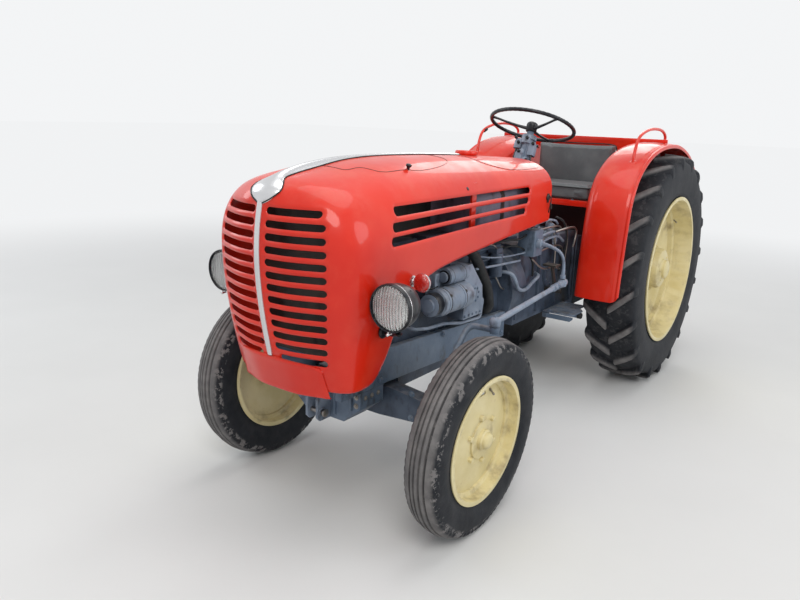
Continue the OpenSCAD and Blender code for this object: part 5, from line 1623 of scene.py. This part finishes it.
CABLES = [
    (0.0052, [(150, -1560, 1040), (198, -1480, 1058), (214, -1360, 1052), (208, -1240, 1076),
              (190, -1160, 1110)]),
    (0.0055, [(146, -1440, 1000), (182, -1400, 1016), (202, -1320, 1000),
              (206, -1240, 960), (212, -1180, 900), (210, -1160, 820)]),
    (0.0058, [(160, -1300, 1100), (190, -1220, 1124), (206, -1120, 1136),
              (196, -1010, 1132), (170, -940, 1126)]),
    (0.0060, [(206, -900, 1126), (232, -860, 1102), (242, -820, 1040), (238, -800, 960), (222, -792, 880),
              (204, -790, 790)]),
    (0.0045, [(150, -2300, 905), (196, -2260, 930), (214, -2210, 935), (206, -2140, 924), (186, -2080, 930)]),
]
# place and radius of the round lever bosses
LEVER_BOSSES = [
    (0.206, -1.084, 1.072, 0.020), (0.214, -1.006, 1.038, 0.017), (0.208, -0.932, 1.080, 0.022),
    (0.212, -0.858, 1.016, 0.019), (0.206, -1.130, 1.000, 0.022),
]
# y from the rear axle, height, width, height of the plate, place outward
LEVER_PLATES = [
    (-1.160, 1.050, 0.050, 0.060, 0.192), (-1.060, 1.000, 0.070, 0.040, 0.196),
    (-0.965, 1.060, 0.060, 0.046, 0.200), (-0.880, 1.000, 0.052, 0.074, 0.196),
]


def make_linkage():
    """Rods, levers, cables and small brackets between the engine and the driver's floor."""
    pale, bare, dark = Shape(), Shape(), Shape()
    for shape, table in ((pale, PALE_RODS), (bare, BARE_RODS), (dark, CABLES)):
        for radius, points in table:
            path = from_axle((x / 1000, y / 1000, z / 1000) for x, y, z in points)
            shape.rod(path, radius, sides=12, steps=5)
    for x, y, z, r in LEVER_BOSSES:
        boss = [(r, -0.010), (r * 1.02, 0.006), (r * 0.92, 0.016), (r * 0.55, 0.021),
                (r * 0.5, 0.030), (r * 0.3, 0.032)]
        pale.turned(boss, facing((x - 0.030, REAR_Y + y, z), LEFT), 24)
        bare.bolt((x + 0.001, REAR_Y + y, z), LEFT, r * 0.36, washer=False)
    for y, z, w, h, x in LEVER_PLATES:
        outline = [
            (-w / 2, -h / 2 + 0.008), (-w / 2 + 0.008, -h / 2), (w / 2 - 0.010, -h / 2),
            (w / 2, -h / 2 + 0.012), (w / 2, h / 2 - 0.01), (w / 2 - 0.012, h / 2), (-w / 2 + 0.010, h / 2),
            (-w / 2, h / 2 - 0.010),
        ]
        pale.plate(outline, 0.006, facing((x, REAR_Y + y, z), LEFT, 0.2))
        for k in (-1, 1):
            bare.bolt((x + 0.006, REAR_Y + y + k * w * 0.32, z + k * h * 0.2), LEFT, 0.0055)
    pale.piece("linkage_levers", LIT_BLUE, slot="blue_grey_paint", crease=42)
    bare.piece("linkage_rods", NUT_STEEL, slot="bright_metal", crease=42)
    dark.piece("cables", BLACK_RUBBER, slot="hose_rubber", crease=42)


HUB_DRUM = [
    (0.166, -0.004), (0.166, 0.006), (0.138, 0.012), (0.133, 0.020), (0.130, 0.066), (0.121, 0.083),
    (0.098, 0.092), (0.064, 0.095), (0.060, 0.099), (0.058, 0.112), (0.044, 0.119), (0.0005, 0.122),
]
# radius of the nuts' circle, height of its face, first turn, count, size
HUB_NUTS = ((0.1520, 0.0085, 0.2, 8, 0.0115), (0.080, 0.0930, 0.0, 6, 0.0065))
VALVE = [
    (0.0050, 0.0), (0.0050, 0.012), (0.0040, 0.013), (0.0040, 0.022), (0.0052, 0.0225), (0.0052, 0.031),
    (0.0034, 0.033),
]
# end of the tractor, distance from the hub, turn round it, place outward
VALVE_PLACES = (("front", 0.205, 2.8, 0.012), ("rear", 0.395, 2.4, 0.055))


def make_hubs():
    """Raised hub drums of the rear wheels with their nuts, and the tyre valves of all four."""
    for side, word in SIDES:
        drum = Shape()
        place = facing((side * 0.500, REAR_Y, REAR_Z), (side, 0, 0))
        drum.turned(HUB_DRUM, place, 72)
        for circle, face, start, count, size in HUB_NUTS:
            for a in around(count, start):
                spot = place @ Vector((circle * math.cos(a), circle * math.sin(a), face))
                drum.bolt(spot, (side, 0, 0), size)
        drum.piece(f"rear_hub_drum_{word}", REAR_CREAM, f"rear_wheel_{word}", "cream_paint", crease=34)
        for end, radius, turn, out in VALVE_PLACES:
            valve = Shape()
            spot = wheel_place(side, end == "front") @ Matrix.Rotation(turn, 4, "Z")
            spot = spot @ Matrix.Translation((radius, 0, out)) @ Matrix.Rotation(math.radians(-38), 4, "Y")
            valve.turned(VALVE, spot, 16)
            valve.piece(f"{end}_valve_{word}", NUT_STEEL, f"{end}_wheel_{word}", "bright_metal")


# x and y from the rear axle of the left step's corners
STEP_CORNERS = [
    (0.167, -0.893), (0.345, -0.893), (0.3595, -0.880), (0.3595, -0.742), (0.340, -0.712), (0.320, -0.690),
    (0.320, -0.602), (0.167, -0.602),
]
STEP_LIP = [(0.167, 0.548), (0.167, 0.520), (0.342, 0.520), (0.3595, 0.536), (0.3595, 0.548)]
STEP_Z, STEP_THICK = 0.552, 0.006
STEP_BAR = (REAR_Y - 0.765, 0.533)


def add_step_studs(plate, side):
    """Raised diamonds on a step, in five rows of four."""
    diamond = [(-0.011, -0.003), (0.011, -0.003), (0.014, 0), (0.011, 0.003), (-0.011, 0.003), (-0.014, 0)]
    for i in range(5):
        for k in range(4):
            x, y = side * (0.200 + k * 0.036), REAR_Y - 0.868 + i * 0.052
            outline = [(x + across, y + along) for across, along in diamond]
            plate.plate(outline, 0.0022, Matrix.Translation((0, 0, STEP_Z + STEP_THICK)))


def make_footsteps():
    """Flat steps on a round cross bar with black capped ends, one on each side."""
    plate, bar, cap = Shape(), Shape(), Shape()
    for side, _ in SIDES:
        flat = [(side * x, REAR_Y + y) for x, y in STEP_CORNERS]
        plate.plate(flat if side > 0 else flat[::-1], STEP_THICK, Matrix.Translation((0, 0, STEP_Z)))
        lip = [from_axle((side * x, y, z) for x, z in STEP_LIP) for y in (-0.893, -0.889)]
        plate.rows(lip, ends=True)
        add_step_studs(plate, side)
        bar.rod([(side * x, *STEP_BAR) for x in (0.167, 0.30, 0.356)], 0.0165, sides=28)
        end = [(0.0165, -0.020), (0.0182, -0.018), (0.0182, 0.002), (0.0165, 0.005), (0.008, 0.0062)]
        cap.turned(end, facing((side * 0.3585, *STEP_BAR), (side, 0, 0)), 28)
    step = plate.piece("step_plates", BLUE_GREY, slot="blue_grey_paint", bevel=0.001, crease=34)
    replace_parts(step, "footsteps")
    bar.piece("step_bars", BLUE_GREY, slot="blue_grey_paint", crease=38)
    cap.piece("step_caps", BLACK_RUBBER, slot="hose_rubber", crease=38)


SUPPORT_FRONT, SUPPORT_REAR = REAR_Y - 2.640, REAR_Y - 2.490
SUPPORT_HALF = 0.196
TOW_PIN = (REAR_Y - 2.694, 0.466)
# y and height of a tow plate's corners
TOW_PLATE = [
    (SUPPORT_FRONT, 0.427), (SUPPORT_FRONT, 0.541), (REAR_Y - 2.706, 0.541), (REAR_Y - 2.720, 0.524),
    (REAR_Y - 2.720, 0.444), (REAR_Y - 2.704, 0.427),
]
# place across, foot and notch height of the casting's ribs
RIBS = ((-0.150, 0.490, 0.482), (-0.062, 0.452, 0.440), (0.062, 0.452, 0.440), (0.150, 0.490, 0.482))


def upright(x):
    """Place of a plate whose outline is given as y and height and that starts at x."""
    return Matrix(((0, 0, 1, x), (1, 0, 0, 0), (0, 1, 0, 0), (0, 0, 0, 1)))


def add_cross_casting(cast):
    """Trough-shaped box under the nose with four ribs on its face and the pivot's boss."""
    rows = []
    for behind, inset in ((0.0, 0.006), (0.010, 0.0), (0.075, 0.0), (SUPPORT_REAR - SUPPORT_FRONT, 0.0)):
        outline = [
            (-0.196, 0.572), (-0.196 + inset, 0.500), (-0.118, 0.436 + inset), (-0.100, 0.420 + inset),
            (0.100, 0.420 + inset), (0.118, 0.436 + inset), (0.196 - inset, 0.500), (0.196, 0.572),
        ]
        rows.append([(x, SUPPORT_FRONT + behind, z) for x, z in outline])
    cast.rows(rows, round_columns=True, ends=True)
    for x, low, notch in RIBS:
        rib = [
            (SUPPORT_FRONT - 0.014, low), (SUPPORT_FRONT + 0.004, notch), (SUPPORT_FRONT + 0.004, 0.566),
            (SUPPORT_FRONT - 0.014, 0.566),
        ]
        cast.plate(rib, 0.010, upright(x - 0.005))
    cast.rod([(0, SUPPORT_REAR - 0.004, 0.480), (0, SUPPORT_REAR + 0.020, 0.480)], 0.045, sides=36, steps=3)


def make_front_support():
    """Cast cross piece under the nose with its bolts, and the tow plates with their pin."""
    cast, plates, bits = Shape(), Shape(), Shape()
    add_cross_casting(cast)
    bits.bolts([(x, SUPPORT_FRONT, z) for x in (-0.172, 0.172) for z in (0.550, 0.512)], AHEAD, 0.009)
    for k in range(3):
        for side, _ in SIDES:
            spot = (side * SUPPORT_HALF, SUPPORT_FRONT + 0.030 + 0.042 * k, 0.545)
            bits.bolt(spot, (side, 0, 0), 0.008)
    for side, _ in SIDES:
        plates.plate(TOW_PLATE, 0.012, upright(side * 0.028 - 0.006))
        eye = [(0.0125, 0.0), (0.0210, 0.0), (0.0215, 0.0035), (0.0205, 0.005), (0.0125, 0.005)]
        plates.ring(eye, facing((side * 0.0335, *TOW_PIN), (side, 0, 0)), 32)
    bits.rod([(-0.046, *TOW_PIN), (0.052, *TOW_PIN)], 0.0108, sides=20, steps=3)
    bits.turned([(0.017, -0.003), (0.0175, 0.004), (0.012, 0.007)], facing((0.052, *TOW_PIN), LEFT), 24)
    support = cast.piece("front_cross_casting", BLUE_GREY, slot="blue_grey_paint", bevel=0.0022, crease=34)
    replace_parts(support, "front_support")
    plates.piece("tow_plates", LIT_BLUE, slot="blue_grey_paint", bevel=0.001, crease=34)
    bits.piece("support_bolts", NUT_STEEL, slot="bright_metal", crease=34)


# Stage
# the camera's place, turn from the tractor's front, look down and lean in degrees, lens in mm
CAMERA = (1.8851, -3.6177, 1.6752)
YAW, PITCH, ROLL = (math.radians(a) for a in (35.913, 14.748, 1.864))
LENS, SENSOR = 31.965, 36
# name, place, aim, size, power, tint
STUDIO_LAMPS = [
    ("key", (3.2, -5.2, 5.4), (0, -0.6, 0.9), 3.2, 190, (1.0, 0.97, 0.93)),
    ("side", (6.0, 0.8, 3.4), (0, 0.0, 0.9), 3.6, 105, (0.96, 0.98, 1.0)),
    ("far_side", (-5.5, -2.5, 4.0), (0, -0.6, 1.0), 3.6, 95, (0.96, 0.98, 1.0)),
    ("rear", (-1.5, 6.0, 4.5), (0, 0.6, 1.0), 3.2, 85, (1.0, 0.98, 0.95)),
    ("overhead", (0.3, -0.6, 5.6), (0, -0.4, 1.0), 4.2, 90, (1.0, 1.0, 1.0)),
]


def place_camera(scene):
    """Camera at the photograph's place and turn."""
    scene.view_settings.view_transform = "Standard"
    eye = bpy.data.cameras.new("photo_view")
    eye.sensor_width = SENSOR
    eye.lens = LENS
    eye.clip_end = 200
    camera = bpy.data.objects.new("photo_view", eye)
    scene.collection.objects.link(camera)
    back = Vector((math.sin(YAW) * math.cos(PITCH), -math.cos(YAW) * math.cos(PITCH), math.sin(PITCH)))
    right = (-back).cross(Vector(UP)).normalized()
    up = right.cross(-back)
    across = right * math.cos(ROLL) + up * math.sin(ROLL)
    upright_axis = up * math.cos(ROLL) - right * math.sin(ROLL)
    turn = Matrix((across, upright_axis, back)).transposed().to_4x4()
    camera.matrix_world = Matrix.Translation(CAMERA) @ turn
    scene.camera = camera


def light_world(scene):
    """Soft light all round, and a plain pale backdrop for what is seen, mirrored or seen through."""
    world = bpy.data.worlds.new("pale_studio")
    scene.world = world
    world.use_nodes = True
    tree = world.node_tree
    tree.nodes.clear()
    out = tree.nodes.new("ShaderNodeOutputWorld")
    lit = tree.nodes.new("ShaderNodeBackground")
    seen = tree.nodes.new("ShaderNodeBackground")
    pick = tree.nodes.new("ShaderNodeMixShader")
    rays = tree.nodes.new("ShaderNodeLightPath")
    lit.inputs["Color"].default_value = (0.93, 0.96, 1.0, 1)
    lit.inputs["Strength"].default_value = 0.42
    seen.inputs["Color"].default_value = (0.90, 0.91, 0.92, 1)
    seen.inputs["Strength"].default_value = 1.0
    shown = rays.outputs["Is Camera Ray"]
    for other in ("Is Glossy Ray", "Is Transmission Ray"):
        either = tree.nodes.new("ShaderNodeMath")
        either.operation = "MAXIMUM"
        tree.links.new(shown, either.inputs[0])
        tree.links.new(rays.outputs[other], either.inputs[1])
        shown = either.outputs[0]
    tree.links.new(shown, pick.inputs[0])
    tree.links.new(lit.outputs[0], pick.inputs[1])
    tree.links.new(seen.outputs[0], pick.inputs[2])
    tree.links.new(pick.outputs[0], out.inputs["Surface"])


def lay_floor(scene):
    """Pale floor that fades into the backdrop."""
    ground = Finish("pale_floor")
    pale = ground.noise(1.3, 4).mix((0.70, 0.70, 0.69), (0.76, 0.76, 0.75))
    ground.done(pale, 0.75 + ground.noise(30, 3) * 0.1)
    far = ground.node(
        "ShaderNodeVectorMath", {"operation": "LENGTH"}, {0: ground.place}, output="Value"
    ).between(2.4, 9.0)
    backdrop = ground.node("ShaderNodeEmission", inputs={"Color": (0.88, 0.89, 0.90), "Strength": 1.0})
    both = ground.node(
        "ShaderNodeMixShader",
        inputs={0: far, 1: Value(ground, ground.surface.outputs[0]), 2: backdrop},
    )
    ground.feed(ground.tree.nodes["Material Output"], {"Surface": both})
    floor_mesh = bpy.data.meshes.new("floor")
    reach = 60
    floor_mesh.from_pydata(
        [(-reach, -reach, 0), (reach, -reach, 0), (reach, reach, 0), (-reach, reach, 0)],
        [],
        [(0, 1, 2, 3)],
    )
    floor_mesh.materials.append(ground.material)
    floor = bpy.data.objects.new("floor", floor_mesh)
    scene.collection.objects.link(floor)


def hang_lamps(scene):
    """Large soft lamps round the tractor."""
    for name, place, aim, size, power, tint in STUDIO_LAMPS:
        lamp = bpy.data.lights.new(name, "AREA")
        lamp.shape = "DISK"
        lamp.size = size
        lamp.energy = power
        lamp.color = tint
        holder = bpy.data.objects.new(name, lamp)
        scene.collection.objects.link(holder)
        holder.matrix_world = facing(place, Vector(place) - Vector(aim))


# Build
make_bonnet()
make_nose_trim()
make_apron()
make_crown_seams()
make_grab_rails()
for side, word in SIDES:
    make_fender(side, f"fender_{word}")
    make_front_tyre(side, word)
    make_rear_tyre(side, word)
for names, paint in (
    (["frame_rails", "rear_axle", "steering_column", "drawbar", "knuckle_left", "knuckle_right",
      "track_rod"], BLUE_GREY),
    # painted shade: these parts take the darker copy of the blue-grey paint
    (["engine", "gearbox", "front_axle"], OILY_AND_SHADED_BLUE),
    # painted light: the generator takes the paler copy of the blue-grey paint
    (["generator"], LIT_BLUE),
    (["back_bar", "instrument_panel"], RED),
    (["seat_deck"], DECK_RED),
    (["front_rim_left", "front_rim_right"], FRONT_CREAM),
    (["rear_rim_left", "rear_rim_right"], REAR_CREAM),
    (["pedals", "levers", "radiator", "exhaust"], SOOT_BLACK),
    (["fuel_tank"], TANK_GREY),
):
    carry(names, paint)
for side, word in SIDES:
    make_headlight(side, word)
    make_lamp_stay(side, word)
    make_turn_lamp(side, word)
make_steering_wheel()
make_seat()
make_dials()
make_hose()
make_fasteners()
make_fuel_lines()
dress_generator()
make_under_bonnet()
make_column_switches()
make_catches()
make_drag_link()
make_drop_arm()
make_linkage()
make_hubs()
make_footsteps()
make_front_support()
place_camera(bpy.context.scene)
light_world(bpy.context.scene)
lay_floor(bpy.context.scene)
hang_lamps(bpy.context.scene)
